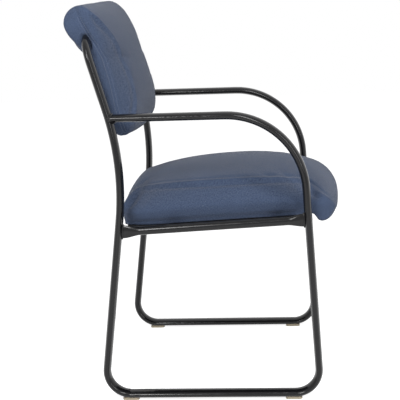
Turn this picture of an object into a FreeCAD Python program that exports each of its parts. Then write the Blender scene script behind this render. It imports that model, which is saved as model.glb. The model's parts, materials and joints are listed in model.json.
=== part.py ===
import FreeCAD, Part
import functools
import math
import os

from FreeCAD import Rotation, Vector

# Sled base visitor chair: two closed side loops of oval steel tube, a seat frame
# between them, an upholstered seat and an upholstered back.
# Millimetres. The sitter faces -Y, X runs across the chair, +Z is up.
# Everything is built with the rear corner of the runners at Y = 0 and is moved at
# the end, so that the origin lies on the floor under the middle of the chair.

# Side loops
loop_spacing = 520.0
tube_wide = 34.0
tube_thick = 17.0
tube_wall = 1.5
runner_length = 471.0
runner_corner_radius = 52.0
rear_leg_lean = 7.4
lumbar_bend_height = 519.0
lumbar_bend_radius = 603.0
upright_recline = 15.7
upright_top_height = 775.0
upright_bend_radius = 44.0
upright_stub_length = 112.0
front_leg_lean = 3.0
arm_height = 618.0
arm_bend_radius = 167.0
weld_bead = 2.4

# Glides under the runners
glide_height = 3.0
glide_length = 36.0
glide_width = 24.0
glide_cradle_height = 6.0
glide_corner_radius = 6.0
glide_inset_from_corner = 58.0
glide_peg_diameter = 6.0
glide_peg_length = 6.0

# Seat frame
seat_tilt = 2.75
seat_rail_height = 385.0
seat_rail_diameter = 18.0
seat_rail_wall = 1.5
seat_rail_end_height = 28.0
seat_rail_end_thick = 7.0
seat_rail_flare_length = 42.0
cross_rail_depth = 30.0
cross_rail_height = 8.0
cross_rail_wall = 1.5
cross_rail_corner_radius = 2.5
cross_rail_front_y = -100.0
cross_rail_rear_y = 120.0
cross_rail_rise = -4.0

# Seat cushion
seat_side_gap = 8.0
seat_depth = 481.0
seat_centre_setback = 284.5
seat_height_crown = 99.0
seat_front_bow = 12.0
seat_side_drop = 27.5
seat_lip_drop = 22.0
seat_lip_depth = 62.0
seat_board_thick = 12.0
seat_board_margin = 26.0
seat_board_lift = 0.8
seat_board_corner_radius = 40.0
cover_turn_under = 16.0
dust_cover_thick = 0.8
dust_cover_margin = 12.0
dust_cover_gap = 0.1

# Back cushion
back_datum_height = 600.0
back_side_gap = 15.0
back_top_above_stub = 80.2
back_bottom = 37.0
back_front_crown = 62.0
back_crease_depth = 51.0
back_crease_from_middle = 150.0
back_side_depth = 16.0
back_rear_bulge = 38.0
back_roll_height = 140.0
back_rear_set_forward = 3.0
back_board_thick = 10.0
back_board_margin = 35.0
back_board_low = -12.0
back_board_above_stub = 44.2
back_board_corner_radius = 35.0
back_seam_from_board = 1.0
back_bar_height = 30.0
back_bar_thick = 4.0
back_bar_share = 0.4525
back_bolt_spacing = 180.0

# Soft covers and their clearances
cover_thick = 1.5
soft_clearance = 0.3
domed_side_clearance = 0.7
seat_clearance = 0.3
cover_hole_clearance = 0.5
recess_clearance = 1.5

# Fasteners
bolt_diameter = 6.0
bolt_head_across_flats = 10.0
bolt_head_height = 4.0
bolt_hole_clearance = 0.6
thread_clearance = 0.05
seat_bolt_spacing = 300.0
washer_diameter = 14.0
washer_thick = 1.2
t_nut_barrel_diameter = 8.0
t_nut_flange_diameter = 19.0
t_nut_flange_thick = 1.2
t_nut_hole_clearance = 0.4
t_nut_barrel_share = 0.75
saddle_width = 22.0
saddle_thick = 1.6
saddle_foot = 17.0
saddle_from_stub_end = 26.0
screw_diameter = 4.0
screw_head_diameter = 8.0
screw_head_height = 2.4
screw_length_in_board = 8.0
screw_hole_clearance = 0.1
plug_depth = 10.0
plug_flange = 2.0

# Working allowances: how far a cutting body runs past a face, and a plain bar past a joint
cut_past = 1.0
joint_reach = 100.0

# Values that follow from the dimensions above
runner_centre = glide_height + tube_thick / 2
half_spacing = loop_spacing / 2
cover_gap = cover_thick + soft_clearance
back_cover_gap = cover_thick + domed_side_clearance
board_face = tube_thick / 2 + seat_clearance
board_front = board_face + back_board_thick
lumbar_y = -math.tan(math.radians(rear_leg_lean)) * (lumbar_bend_height - runner_centre)
between_loops = loop_spacing - tube_wide
seat_width = between_loops - 2 * seat_side_gap
back_width = between_loops - 2 * back_side_gap
back_board_width = back_width - 2 * back_board_margin
back_rear_face = -back_rear_set_forward
stub_rise = (upright_top_height - back_datum_height) / math.cos(math.radians(upright_recline))
back_top = stub_rise + back_top_above_stub
back_board_high = stub_rise + back_board_above_stub
back_bar_rise = back_bar_share * (stub_rise + back_bottom) - back_bottom
X_AXIS = Vector(1, 0, 0)
Y_AXIS = Vector(0, 1, 0)
Z_AXIS = Vector(0, 0, 1)
RIGHT = -1
LEFT = 1
SIDES = {"right": RIGHT, "left": LEFT}


def upright_y(height):
    """Y of the reclined upright's centreline at a height."""
    return lumbar_y + math.tan(math.radians(upright_recline)) * (height - lumbar_bend_height)


def rear_leg_y(height):
    """Y of the rear leg's straight centreline at a height."""
    return -math.tan(math.radians(rear_leg_lean)) * (height - runner_centre)


def rear_line_y(height):
    """Y of the centreline of the rear leg, the lumbar bend and the upright at a height."""
    lean = math.radians(rear_leg_lean)
    recline = math.radians(upright_recline)
    setback = lumbar_bend_radius * math.tan((lean + recline) / 2)
    low = lumbar_bend_height - setback * math.cos(lean)
    high = lumbar_bend_height + setback * math.cos(recline)
    if height <= low:
        return rear_leg_y(height)
    if height >= high:
        return upright_y(height)
    centre_y = rear_leg_y(low) + lumbar_bend_radius * math.cos(lean)
    centre_z = low + lumbar_bend_radius * math.sin(lean)
    return centre_y - math.sqrt(lumbar_bend_radius ** 2 - (height - centre_z) ** 2)


def front_leg_y(height):
    """Y of the front leg's straight centreline at a height."""
    return -runner_length + math.tan(math.radians(front_leg_lean)) * (height - runner_centre)


def seat_place(shape):
    """Moves a shape from the level seat frame to its tilted place on the rails."""
    placed = shape.copy()
    placed.rotate(Vector(0, 0, 0), X_AXIS, -seat_tilt)
    placed.translate(Vector(0, -seat_centre_setback, seat_rail_height))
    return placed


def back_place(shape):
    """Moves a shape from the upright back frame to its reclined place."""
    placed = shape.copy()
    placed.rotate(Vector(0, 0, 0), X_AXIS, -upright_recline)
    placed.translate(Vector(0, upright_y(back_datum_height), back_datum_height))
    return placed


def cylinder(radius, length, start, direction):
    """Round bar from a start point along a direction."""
    return Part.makeCylinder(radius, length, start, direction)


def box(low, high):
    """Box between two opposite corners."""
    size = high.sub(low)
    return Part.makeBox(size.x, size.y, size.z, low)


def oval_face(centre, along, wide_direction, wide, thick):
    """Elliptical face square to a direction, with its long axis as given."""
    ellipse = Part.Ellipse(Vector(0, 0, 0), wide / 2, thick / 2).toShape()
    face = Part.Face(Part.Wire([ellipse]))
    turn = Rotation(wide_direction, along.cross(wide_direction), along, "ZXY")
    face.Placement = FreeCAD.Placement(centre, turn)
    return face


def bent_oval(points, radii, wide, thick, wide_direction):
    """Solid oval bar along straight runs joined by tangent arcs."""
    start = points[0]
    along = points[1].sub(start).normalize()
    face = oval_face(start, along, wide_direction, wide, thick)
    pieces = []
    position = start
    for index, radius in enumerate(radii):
        corner = points[index + 1]
        onward = points[index + 2].sub(corner).normalize()
        turn = along.getAngle(onward)
        setback = radius * math.tan(turn / 2)
        run = corner.sub(position).sub(along * setback)
        pieces.append(face.extrude(run))
        face.translate(run)
        axis = along.cross(onward).normalize()
        centre = corner.sub(along * setback).add(axis.cross(along) * radius)
        pieces.append(face.revolve(centre, axis, math.degrees(turn)))
        face = face.copy()
        face.rotate(centre, axis, math.degrees(turn))
        position = corner.add(onward * setback)
        along = onward
    pieces.append(face.extrude(points[-1].sub(position)))
    return pieces[0].multiFuse(pieces[1:])


def loop_points(side):
    """Corner points of one side loop, from the stub in the back to the arm's bend."""
    x = side * half_spacing
    inner_x = side * (half_spacing - upright_stub_length)
    top_y = upright_y(upright_top_height)
    return [
        Vector(inner_x, top_y, upright_top_height),
        Vector(x, top_y, upright_top_height),
        Vector(x, lumbar_y, lumbar_bend_height),
        Vector(x, 0, runner_centre),
        Vector(x, -runner_length, runner_centre),
        Vector(x, front_leg_y(arm_height), arm_height),
        Vector(x, upright_y(arm_height), arm_height),
    ]


def loop_radii():
    """Bend radii at the corners of a side loop."""
    return [
        upright_bend_radius,
        lumbar_bend_radius,
        runner_corner_radius,
        runner_corner_radius,
        arm_bend_radius,
    ]


def stub_wide_direction():
    """Direction of the oval's long axis in the stub, which lies along the upright."""
    recline = math.radians(upright_recline)
    return Vector(0, math.sin(recline), math.cos(recline))


@functools.lru_cache(maxsize=None)
def loop_without_arm_end(side, grow=0.0):
    """Solid bar of a side loop up to the middle of the arm."""
    points = loop_points(side)
    middle = points[5].add(points[6]) * 0.5
    return bent_oval(
        points[:6] + [middle],
        loop_radii(),
        tube_wide + 2 * grow,
        tube_thick + 2 * grow,
        stub_wide_direction(),
    )


def arm_end(side, grow=0.0):
    """Solid bar of the arm from its middle back to the upright's centreline."""
    points = loop_points(side)
    middle = points[5].add(points[6]) * 0.5
    run = points[6].sub(middle)
    wide = tube_wide + 2 * grow
    thick = tube_thick + 2 * grow
    return oval_face(middle, Y_AXIS, X_AXIS, wide, thick).extrude(run)


def upright_bar(side, grow=0.0):
    """Solid bar of the straight upright alone, near the arm's end."""
    x = side * half_spacing
    low = arm_height - joint_reach
    high = arm_height + joint_reach
    start = Vector(x, upright_y(low), low)
    end = Vector(x, upright_y(high), high)
    wide = tube_wide + 2 * grow
    thick = tube_thick + 2 * grow
    along = end.sub(start).normalize()
    return oval_face(start, along, X_AXIS, wide, thick).extrude(end.sub(start))


@functools.lru_cache(maxsize=None)
def rear_bar(side, grow=0.0):
    """Solid bar of the rear leg and the upright, past the rail and past the arm."""
    x = side * half_spacing
    low = (runner_centre + lumbar_bend_height) / 2
    high = arm_height + joint_reach
    points = [
        Vector(x, rear_leg_y(low), low),
        Vector(x, lumbar_y, lumbar_bend_height),
        Vector(x, upright_y(high), high),
    ]
    wide = tube_wide + 2 * grow
    thick = tube_thick + 2 * grow
    return bent_oval(points, [lumbar_bend_radius], wide, thick, X_AXIS)


@functools.lru_cache(maxsize=None)
def side_loop_bar(side):
    """Outer form of a whole side loop, with the arm run up to the upright."""
    return loop_without_arm_end(side).fuse(arm_end(side))


def glide_places():
    """Y of the middle of the rear and the front glide."""
    return {
        "rear": -glide_inset_from_corner,
        "front": -runner_length + glide_inset_from_corner,
    }


def side_loop(side):
    """Hollow side loop whose arm end is coped and welded to its own upright."""
    half_wall = tube_wall / 2
    shell = loop_without_arm_end(side).cut(loop_without_arm_end(side, -tube_wall))
    coped = arm_end(side).cut(upright_bar(side, -half_wall))
    coped = coped.cut(arm_end(side, -tube_wall))
    tube = shell.fuse(coped)
    for y in glide_places().values():
        start = Vector(side * half_spacing, y, glide_height - cut_past)
        radius = glide_peg_diameter / 2 + soft_clearance
        tube = tube.cut(cylinder(radius, tube_wall + 2 * cut_past, start, Z_AXIS))
    return tube


def arm_weld(side):
    """Bead round the joint between the arm's end and the upright."""
    joint_y = upright_y(arm_height)
    bead = arm_end(side, weld_bead).common(upright_bar(side, weld_bead))
    bead = bead.cut(side_loop_bar(side))
    behind = box(
        Vector(side * half_spacing - tube_wide, joint_y, arm_height - tube_wide),
        Vector(side * half_spacing + tube_wide, joint_y + tube_wide, arm_height + tube_wide),
    )
    return bead.cut(behind)


def glide(side, y):
    """Moulded pad that cradles the runner from below, with a peg into the tube."""
    x = side * half_spacing
    low = Vector(x - glide_width / 2, y - glide_length / 2, 0)
    high = Vector(x + glide_width / 2, y + glide_length / 2, glide_cradle_height)
    pad = box(low, high)
    upright_edges = [edge for edge in pad.Edges if abs(edge.tangentAt(0).z) > 0.5]
    pad = pad.makeFillet(glide_corner_radius, upright_edges)
    runner = oval_face(
        Vector(x, y - glide_length, runner_centre), Y_AXIS, X_AXIS, tube_wide, tube_thick
    ).extrude(Y_AXIS * (2 * glide_length))
    pad = pad.cut(runner)
    peg_start = Vector(x, y, glide_height / 2)
    peg = cylinder(glide_peg_diameter / 2, glide_height / 2 + glide_peg_length, peg_start, Z_AXIS)
    return pad.fuse(peg)


def stub_plug(side):
    """Plastic plug in the open end of the tube, inside the back."""
    points = loop_points(side)
    end = points[0]
    inward = X_AXIS * -side
    wide_direction = stub_wide_direction()
    flange = oval_face(end, inward, wide_direction, tube_wide, tube_thick)
    flange = flange.extrude(inward * plug_flange)
    body_wide = tube_wide - 2 * tube_wall - seat_clearance
    body_thick = tube_thick - 2 * tube_wall - seat_clearance
    body = oval_face(end, inward * -1, wide_direction, body_wide, body_thick)
    return flange.fuse(body.extrude(inward * -plug_depth))


def rail_line():
    """Ends of the seat rail's axis, at the centrelines of the rear and front legs."""
    slope = math.tan(math.radians(seat_tilt))
    rear_y = rear_line_y(seat_rail_height)
    front_y = front_leg_y(seat_rail_height)
    rear_z = seat_rail_height - slope * (rear_y + seat_centre_setback)
    front_z = seat_rail_height - slope * (front_y + seat_centre_setback)
    return rear_y, rear_z, front_y, front_z


@functools.lru_cache(maxsize=None)
def flared_bar(side, inset):
    """Round bar along a seat rail whose ends are squashed tall and thin."""
    rear_y, rear_z, front_y, front_z = rail_line()
    x = side * half_spacing
    rear = Vector(x, rear_y, rear_z)
    front = Vector(x, front_y, front_z)
    along = front.sub(rear).normalize()
    post_half = tube_thick / 2
    radius = seat_rail_diameter / 2 - inset
    end_half_height = seat_rail_end_height / 2 - inset
    end_half_thick = seat_rail_end_thick / 2 - inset
    stages = [(0.0, 1.0), (0.35, 0.8), (0.75, 0.15), (1.0, 0.0)]
    upward = along.cross(X_AXIS) if along.cross(X_AXIS).z > 0 else X_AXIS.cross(along)

    def flare(face_point, direction):
        wires = []
        for share, squash in stages:
            at = face_point.add(direction * (seat_rail_flare_length * (1 - share)))
            tall = radius + (end_half_height - radius) * (1 - squash)
            thin = radius + (end_half_thick - radius) * (1 - squash)
            wires.append(oval_face(at, along, upward, 2 * tall, 2 * thin).OuterWire)
        return Part.makeLoft(wires, True)

    rear_face = rear.add(along * post_half)
    front_face = front.sub(along * post_half)
    pieces = []
    for face_point, direction in ((rear_face, along), (front_face, along * -1)):
        pieces.append(flare(face_point, direction))
        root = oval_face(
            face_point, along, upward, 2 * end_half_height, 2 * end_half_thick
        )
        pieces.append(root.extrude(direction * -post_half))
    start = rear_face.add(along * seat_rail_flare_length)
    length = front_face.sub(rear_face).Length - 2 * seat_rail_flare_length
    middle = oval_face(start, along, upward, 2 * radius, 2 * radius)
    return middle.extrude(along * length).multiFuse(pieces)


def leg_bars(side, grow):
    """Solid bars of the rear leg with its bend, and of the front leg near the rail."""
    x = side * half_spacing
    low = seat_rail_height - joint_reach
    high = seat_rail_height + joint_reach
    start = Vector(x, front_leg_y(low), low)
    run = Vector(x, front_leg_y(high), high).sub(start)
    wide = tube_wide + 2 * grow
    thick = tube_thick + 2 * grow
    front = oval_face(start, Vector(run).normalize(), X_AXIS, wide, thick).extrude(run)
    return [rear_bar(side, grow), front]


def rail_middle_bar(side, grow=0.0):
    """Plain round bar along the whole axis of a seat rail."""
    rear_y, rear_z, front_y, front_z = rail_line()
    rear = Vector(side * half_spacing, rear_y, rear_z)
    run = Vector(side * half_spacing, front_y, front_z).sub(rear)
    return cylinder(seat_rail_diameter / 2 + grow, run.Length, rear, run)


def seat_rail(side):
    """Hollow seat rail, coped to the legs that it is welded between."""
    rail = flared_bar(side, 0.0).cut(flared_bar(side, seat_rail_wall))
    return rail.cut(side_loop_bar(side))


def rail_welds(side):
    """Beads at both ends of a seat rail."""
    grown = flared_bar(side, -weld_bead)
    beads = []
    for leg_grown in leg_bars(side, weld_bead):
        bead = grown.common(leg_grown).cut(side_loop_bar(side)).cut(flared_bar(side, 0.0))
        beads.extend(bead.Solids)
    return beads


def rounded_section_bar(length, depth, height, radius, centre):
    """Bar along X with a rounded rectangular section."""
    low = Vector(-length / 2, centre.y - depth / 2, centre.z - height / 2)
    high = Vector(length / 2, centre.y + depth / 2, centre.z + height / 2)
    bar = box(low, high)
    long_edges = [edge for edge in bar.Edges if abs(edge.tangentAt(0).x) > 0.5]
    return bar.makeFillet(radius, long_edges)


def cross_rail_top():
    """Height of a cross rail's top face above the seat rails' axis."""
    return cross_rail_rise + cross_rail_height / 2


def cross_rail_bar(y, inset=0.0):
    """Level bar of a cross rail, in the seat frame."""
    return rounded_section_bar(
        loop_spacing,
        cross_rail_depth - 2 * inset,
        cross_rail_height - 2 * inset,
        cross_rail_corner_radius - inset / 2,
        Vector(0, y, cross_rail_rise),
    )


def seat_bolt_places():
    """X and Y of the seat bolts in the seat frame."""
    half_x = seat_bolt_spacing / 2
    return [(x, y) for x in (-half_x, half_x) for y in (cross_rail_front_y, cross_rail_rear_y)]


def cross_rail(y):
    """Hollow cross rail with its bolt holes, coped to the seat rails."""
    rail = cross_rail_bar(y).cut(cross_rail_bar(y, cross_rail_wall))
    for bolt_x, bolt_y in seat_bolt_places():
        if bolt_y == y:
            start = Vector(bolt_x, bolt_y, -cross_rail_height)
            radius = (bolt_diameter + bolt_hole_clearance) / 2
            rail = rail.cut(cylinder(radius, 3 * cross_rail_height, start, Z_AXIS))
    rail = seat_place(rail)
    for side in SIDES.values():
        rail = rail.cut(rail_middle_bar(side))
    return max(rail.Solids, key=lambda solid: solid.Volume)


def cross_rail_welds(y):
    """Beads where a cross rail meets the seat rails."""
    beads = []
    inner_half = box(
        Vector(-half_spacing, -runner_length, 0), Vector(half_spacing, 0, arm_height)
    )
    grown_bar = seat_place(cross_rail_bar(y, -weld_bead / 2))
    for side in SIDES.values():
        bead = grown_bar.common(rail_middle_bar(side, weld_bead / 2)).common(inner_half)
        bead = bead.cut(rail_middle_bar(side)).cut(seat_place(cross_rail_bar(y)))
        beads.extend(bead.Solids)
    return beads


def profile_wire(x, corners, arcs, centre, scale, shrink, adjust):
    """Closed outline in the plane X = x through named corners, as arcs and lines.

    Each corner is (y, z, inward y, inward z). Each arc names its start, the corner that
    it passes through, or None where it is straight, and its end. The outline is scaled
    about its centre, and then moved inwards by the shrink.
    """
    def place(name):
        y, z, inward_y, inward_z = corners[name]
        y, z = adjust(y, z)
        y = centre[0] + (y - centre[0]) * scale[0]
        z = centre[1] + (z - centre[1]) * scale[1]
        return Vector(x, y + shrink * inward_y, z + shrink * inward_z)

    edges = []
    for start, through, end in arcs:
        if through is None:
            edges.append(Part.LineSegment(place(start), place(end)).toShape())
        else:
            edges.append(Part.Arc(place(start), place(through), place(end)).toShape())
    return Part.Wire(edges)


def end_station(stations, half_width, shrink):
    """Last station of a shrunk form, on the line between the outer form's last two."""
    (near, *near_scale), (_, *end_scale) = stations[-2:]
    share = 1 - shrink / half_width
    part = (share - near) / (1 - near)
    scale = [a + (b - a) * part for a, b in zip(near_scale, end_scale)]
    return (share, *scale)


def cushion_form(half_width, stations, corners, arcs, centre, shrink, adjust_for):
    """Cushion solid lofted across the chair through side outlines.

    Each station is (share of the half width, scale of the outline in Y and in Z).
    """
    right = stations[:-1] + [end_station(stations, half_width, shrink)]
    places = [(-share, *scale) for share, *scale in right[:0:-1]] + right
    wires = []
    for share, *scale in places:
        x = share * half_width
        adjust = adjust_for(abs(share))
        wires.append(profile_wire(x, corners, arcs, centre, scale, shrink, adjust))
    return Part.makeLoft(wires, True)


SEAT_STATIONS = [
    (0.0, 1.0, 1.0),
    (0.45, 1.0, 1.0),
    (0.8, 1.0, 1.0),
    (0.9, 0.99, 0.96),
    (0.96, 0.975, 0.855),
    (0.985, 0.96, 0.74),
    (1.0, 0.94, 0.585),
]
SEAT_ARCS = [
    ("rear bottom", "rear middle", "rear top"),
    ("rear top", "rear crown", "crown"),
    ("crown", "front crown", "front top"),
    ("front top", "front upper", "nose"),
    ("nose", "lip front", "lip bottom"),
    ("lip bottom", None, "lip rear"),
    ("lip rear", None, "lip top"),
    ("lip top", None, "rear bottom"),
]


def seat_corners():
    """Corners of the seat cushion's side outline, above the board's underside."""
    half = seat_depth / 2
    crown = seat_height_crown
    lip = -seat_lip_drop
    lip_y = -half + seat_lip_depth
    return {
        "rear bottom": (half - 6, 0, -1, 1),
        "rear middle": (half, crown * 0.36, -1, 0),
        "rear top": (half - 34, crown * 0.775, -0.6, -0.8),
        "rear crown": (half * 0.47, crown * 0.955, -0.1, -1),
        "crown": (0, crown, 0, -1),
        "front crown": (-half * 0.40, crown * 0.965, 0.1, -1),
        "front top": (-half * 0.68, crown * 0.825, 0.4, -0.9),
        "front upper": (-half * 0.905, crown * 0.5, 0.8, -0.6),
        "nose": (-half, crown * 0.17, 1, 0),
        "lip front": (-half + 9, lip * 0.5, 0.9, 0.4),
        "lip bottom": (-half + 30, lip, 0.2, 1),
        "lip rear": (lip_y - 6, lip, -1, 1),
        "lip top": (lip_y, 0, -1, 1),
    }


def seat_adjust(share):
    """Lowers the crown and sets the front edge back towards the sides of the seat."""
    drop = seat_side_drop * share ** 2
    bow = seat_front_bow * share ** 2

    def adjust(y, z):
        frontness = max(0.0, -y) / (seat_depth / 2)
        return y + bow * frontness ** 3, z - drop * math.sqrt(max(0.0, z) / seat_height_crown)

    return adjust


def seat_form(shrink):
    """Seat cushion's outer form, shrunk inwards, standing on its underside."""
    centre = (0.0, seat_height_crown * 0.1)
    form = cushion_form(
        seat_width / 2, SEAT_STATIONS, seat_corners(), SEAT_ARCS, centre, shrink, seat_adjust
    )
    form.translate(Z_AXIS * seat_underside())
    return form


def seat_underside():
    """Height of the cushion's underside above the seat rails' axis."""
    return cross_rail_top() + dust_cover_thick + dust_cover_gap


def rounded_plate(half_x, low_y, high_y, radius, low_z, thick):
    """Flat plate with rounded corners, lying level."""
    plate = box(Vector(-half_x, low_y, low_z), Vector(half_x, high_y, low_z + thick))
    corner_edges = [edge for edge in plate.Edges if abs(edge.tangentAt(0).z) > 0.5]
    return plate.makeFillet(radius, corner_edges)


def seat_plate(margin, low_z, thick, radius):
    """Plate that follows the seat's plan, behind the front lip."""
    half = seat_depth / 2
    front = -half + seat_lip_depth + margin
    return rounded_plate(
        seat_width / 2 - margin, front, half - margin, radius, low_z, thick
    )


def seat_board_low():
    """Height of the seat board's underside above the seat rails' axis."""
    return seat_underside() + cover_gap + seat_board_lift


def seat_board():
    """Plywood seat board with the bolt holes."""
    board = seat_plate(
        seat_board_margin, seat_board_low(), seat_board_thick, seat_board_corner_radius
    )
    radius = (t_nut_barrel_diameter + t_nut_hole_clearance) / 2
    for x, y in seat_bolt_places():
        start = Vector(x, y, seat_board_low() - cut_past)
        board = board.cut(cylinder(radius, seat_board_thick + 2 * cut_past, start, Z_AXIS))
    return seat_place(board)


def t_nut(start, direction, board_thick):
    """T-nut seen from its flange: barrel into the board, bore for the bolt."""
    flange = cylinder(t_nut_flange_diameter / 2, t_nut_flange_thick, start, direction)
    inward = direction * -1
    barrel_length = board_thick * t_nut_barrel_share
    barrel = cylinder(t_nut_barrel_diameter / 2, barrel_length, start, inward)
    bore_start = start.add(inward * board_thick)
    bore_radius = bolt_diameter / 2 + thread_clearance
    bore = cylinder(bore_radius, 2 * board_thick, bore_start, direction)
    return flange.fuse(barrel).cut(bore)


def hex_bolt(under_head, direction, grip):
    """Hexagon bolt with its head below a point and its shank along a direction."""
    shank = cylinder(bolt_diameter / 2, grip, under_head, direction)
    corner = bolt_head_across_flats / math.sqrt(3)
    outline = [Vector(corner, 0, 0)]
    for count in range(1, 7):
        angle = math.radians(60 * count)
        outline.append(Vector(corner * math.cos(angle), corner * math.sin(angle), 0))
    head = Part.Face(Part.makePolygon(outline)).extrude(Z_AXIS * -bolt_head_height)
    head.Placement = FreeCAD.Placement(under_head, Rotation(Z_AXIS, direction))
    return head.fuse(shank)


def washer(start, direction):
    """Flat washer from a face outwards."""
    disc = cylinder(washer_diameter / 2, washer_thick, start, direction)
    hole = cylinder(
        (bolt_diameter + bolt_hole_clearance) / 2, 3 * washer_thick, start, direction
    )
    return disc.cut(hole)


def seat_fasteners():
    """Bolts, washers and T-nuts of the seat, in place."""
    bolts = []
    washers = []
    nuts = []
    low = cross_rail_rise - cross_rail_height / 2
    board_top = seat_board_low() + seat_board_thick
    for x, y in seat_bolt_places():
        seat = Vector(x, y, low - washer_thick)
        bolts.append(seat_place(hex_bolt(seat, Z_AXIS, board_top - low + washer_thick)))
        washers.append(seat_place(washer(seat, Z_AXIS)))
        nuts.append(seat_place(t_nut(Vector(x, y, board_top), Z_AXIS, seat_board_thick)))
    return bolts, washers, nuts


def seat_foam():
    """Moulded foam over and round the seat board."""
    foam = seat_form(cover_gap)
    pocket_low = seat_underside() - seat_lip_drop
    pocket_high = seat_board_low() + seat_board_thick + soft_clearance
    pocket = seat_plate(
        seat_board_margin - soft_clearance,
        pocket_low,
        pocket_high - pocket_low,
        seat_board_corner_radius,
    )
    foam = foam.cut(pocket)
    recess = t_nut_flange_diameter / 2 + soft_clearance
    for x, y in seat_bolt_places():
        start = Vector(x, y, pocket_high - cut_past)
        foam = foam.cut(cylinder(recess, t_nut_flange_thick + recess_clearance, start, Z_AXIS))
    return seat_place(foam)


def seat_cover():
    """Fabric cover of the seat, turned under the board all round."""
    cover = seat_form(0.0).cut(seat_form(cover_thick))
    opening = seat_plate(
        cover_turn_under + seat_board_margin,
        seat_underside() - cut_past,
        cover_thick + 2 * cut_past,
        seat_board_corner_radius / 2,
    )
    return seat_place(cover.cut(opening))


def seat_dust_cover():
    """Thin black sheet that closes the underside of the seat."""
    sheet = seat_plate(
        dust_cover_margin, cross_rail_top(), dust_cover_thick, seat_board_corner_radius
    )
    radius = (bolt_diameter + bolt_hole_clearance) / 2
    for x, y in seat_bolt_places():
        start = Vector(x, y, cross_rail_top() - cut_past)
        sheet = sheet.cut(cylinder(radius, dust_cover_thick + 2 * cut_past, start, Z_AXIS))
    return seat_place(sheet)


BACK_STATIONS = [
    (0.0, 1.0, 1.0),
    (0.4, 1.0, 1.0),
    (0.66, 1.0, 0.997),
    (0.8, 1.0, 0.99),
    (0.9, 1.0, 0.98),
    (0.96, 0.98, 0.965),
    (0.985, 0.94, 0.945),
    (1.0, 0.86, 0.91),
]
BACK_ARCS = [
    ("rear bottom", "bottom", "front bottom"),
    ("front bottom", "front low", "front crown"),
    ("front crown", "front high", "front top"),
    ("front top", "top front", "top"),
    ("top", "top rear", "bulge"),
    ("bulge", "bulge low", "bulge root"),
    ("bulge root", "rear hollow", "rear high"),
    ("rear high", None, "rear bottom"),
]


def back_corners():
    """Corners of the back cushion's side outline, in the upright back frame."""
    deep = -back_front_crown
    bulge = back_rear_bulge
    rear = back_rear_face
    roll = back_roll_height
    top = back_top
    low = -back_bottom
    tall = top - low
    return {
        "rear bottom": (rear, low + 0.047 * tall, -1, 1),
        "bottom": (0.38 * deep, low, -0.1, 1),
        "front bottom": (0.77 * deep, low + 0.08 * tall, 0.8, 0.6),
        "front low": (0.94 * deep, low + 0.207 * tall, 1, 0.2),
        "front crown": (deep, low + 0.38 * tall, 1, 0),
        "front high": (0.955 * deep, low + 0.62 * tall, 1, -0.1),
        "front top": (0.8 * deep, low + 0.816 * tall, 1, -0.4),
        "top front": (0.5 * deep, low + 0.945 * tall, 0.7, -0.8),
        "top": (0.08 * deep, top, 0, -1),
        "top rear": (0.74 * bulge, top - 0.07 * roll, -0.7, -0.7),
        "bulge": (bulge, top - 0.243 * roll, -1, 0),
        "bulge low": (0.84 * bulge, top - 0.443 * roll, -1, 0.2),
        "bulge root": (0.32 * bulge, top - 0.657 * roll, -0.9, 0.3),
        "rear hollow": (0.026 * bulge, top - 0.8 * roll, -1, 0.2),
        "rear high": (rear, top - roll, -1, 0),
    }


def back_depth(share):
    """Depth of the back at a share of its half width: a crowned front between domed sides."""
    crease = back_crease_from_middle / (back_width / 2)
    if share <= crease:
        return back_front_crown - (back_front_crown - back_crease_depth) * (share / crease) ** 2
    part = (1 - share) / (1 - crease)
    return back_side_depth + (back_crease_depth - back_side_depth) * part ** 0.625


def back_adjust(share):
    """Draws the front of the back rearwards towards its sides."""
    depth_share = back_depth(share) / back_front_crown

    def adjust(y, z):
        forward = min(0.0, y - back_rear_face)
        return y + forward * (depth_share - 1), z

    return adjust


def back_form(shrink):
    """Back cushion's outer form, shrunk inwards, in the upright back frame."""
    centre = (-board_face, (back_top - back_bottom) / 2)
    return cushion_form(
        back_width / 2, BACK_STATIONS, back_corners(), BACK_ARCS, centre, shrink, back_adjust
    )


def back_slab(front_y, rear_y):
    """Slab that takes in the whole back between two planes."""
    reach = back_width
    return box(Vector(-reach, front_y, -reach), Vector(reach, rear_y, reach))


def back_bolt_places():
    """X of the bolts through the back bar."""
    return [-back_bolt_spacing / 2, back_bolt_spacing / 2]


def saddle_places():
    """X of the middle of each saddle strap."""
    x = half_spacing - upright_stub_length + saddle_from_stub_end
    return [-x, x]


def saddle_reach():
    """Half height of a saddle strap, from the stub's centreline to the end of a foot."""
    return tube_wide / 2 + seat_clearance + saddle_thick + saddle_foot


def saddle_screw_places():
    """X and Z of the saddle screws in the upright back frame."""
    stub_z = stub_rise
    reach = saddle_reach() - saddle_foot / 2
    return [(x, stub_z + step) for x in saddle_places() for step in (-reach, reach)]


def back_board():
    """Plywood back board with its bolt and screw holes."""
    plate = box(
        Vector(-back_board_width / 2, -board_front, back_board_low),
        Vector(back_board_width / 2, -board_face, back_board_high),
    )
    corner_edges = [edge for edge in plate.Edges if abs(edge.tangentAt(0).y) > 0.5]
    board = plate.makeFillet(back_board_corner_radius, corner_edges)
    forward = Y_AXIS * -1
    for x in back_bolt_places():
        start = Vector(x, 0, back_bar_rise)
        radius = (t_nut_barrel_diameter + t_nut_hole_clearance) / 2
        board = board.cut(cylinder(radius, 2 * board_front, start, forward))
    for x, z in saddle_screw_places():
        start = Vector(x, 0, z)
        depth = board_face + screw_length_in_board
        board = board.cut(cylinder(screw_diameter / 2, depth, start, forward))
    return back_place(board)


def stub_clearance_bars():
    """Solid bars round both upright tops, with room for the tube."""
    return [loop_without_arm_end(side, soft_clearance) for side in SIDES.values()]


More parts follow.
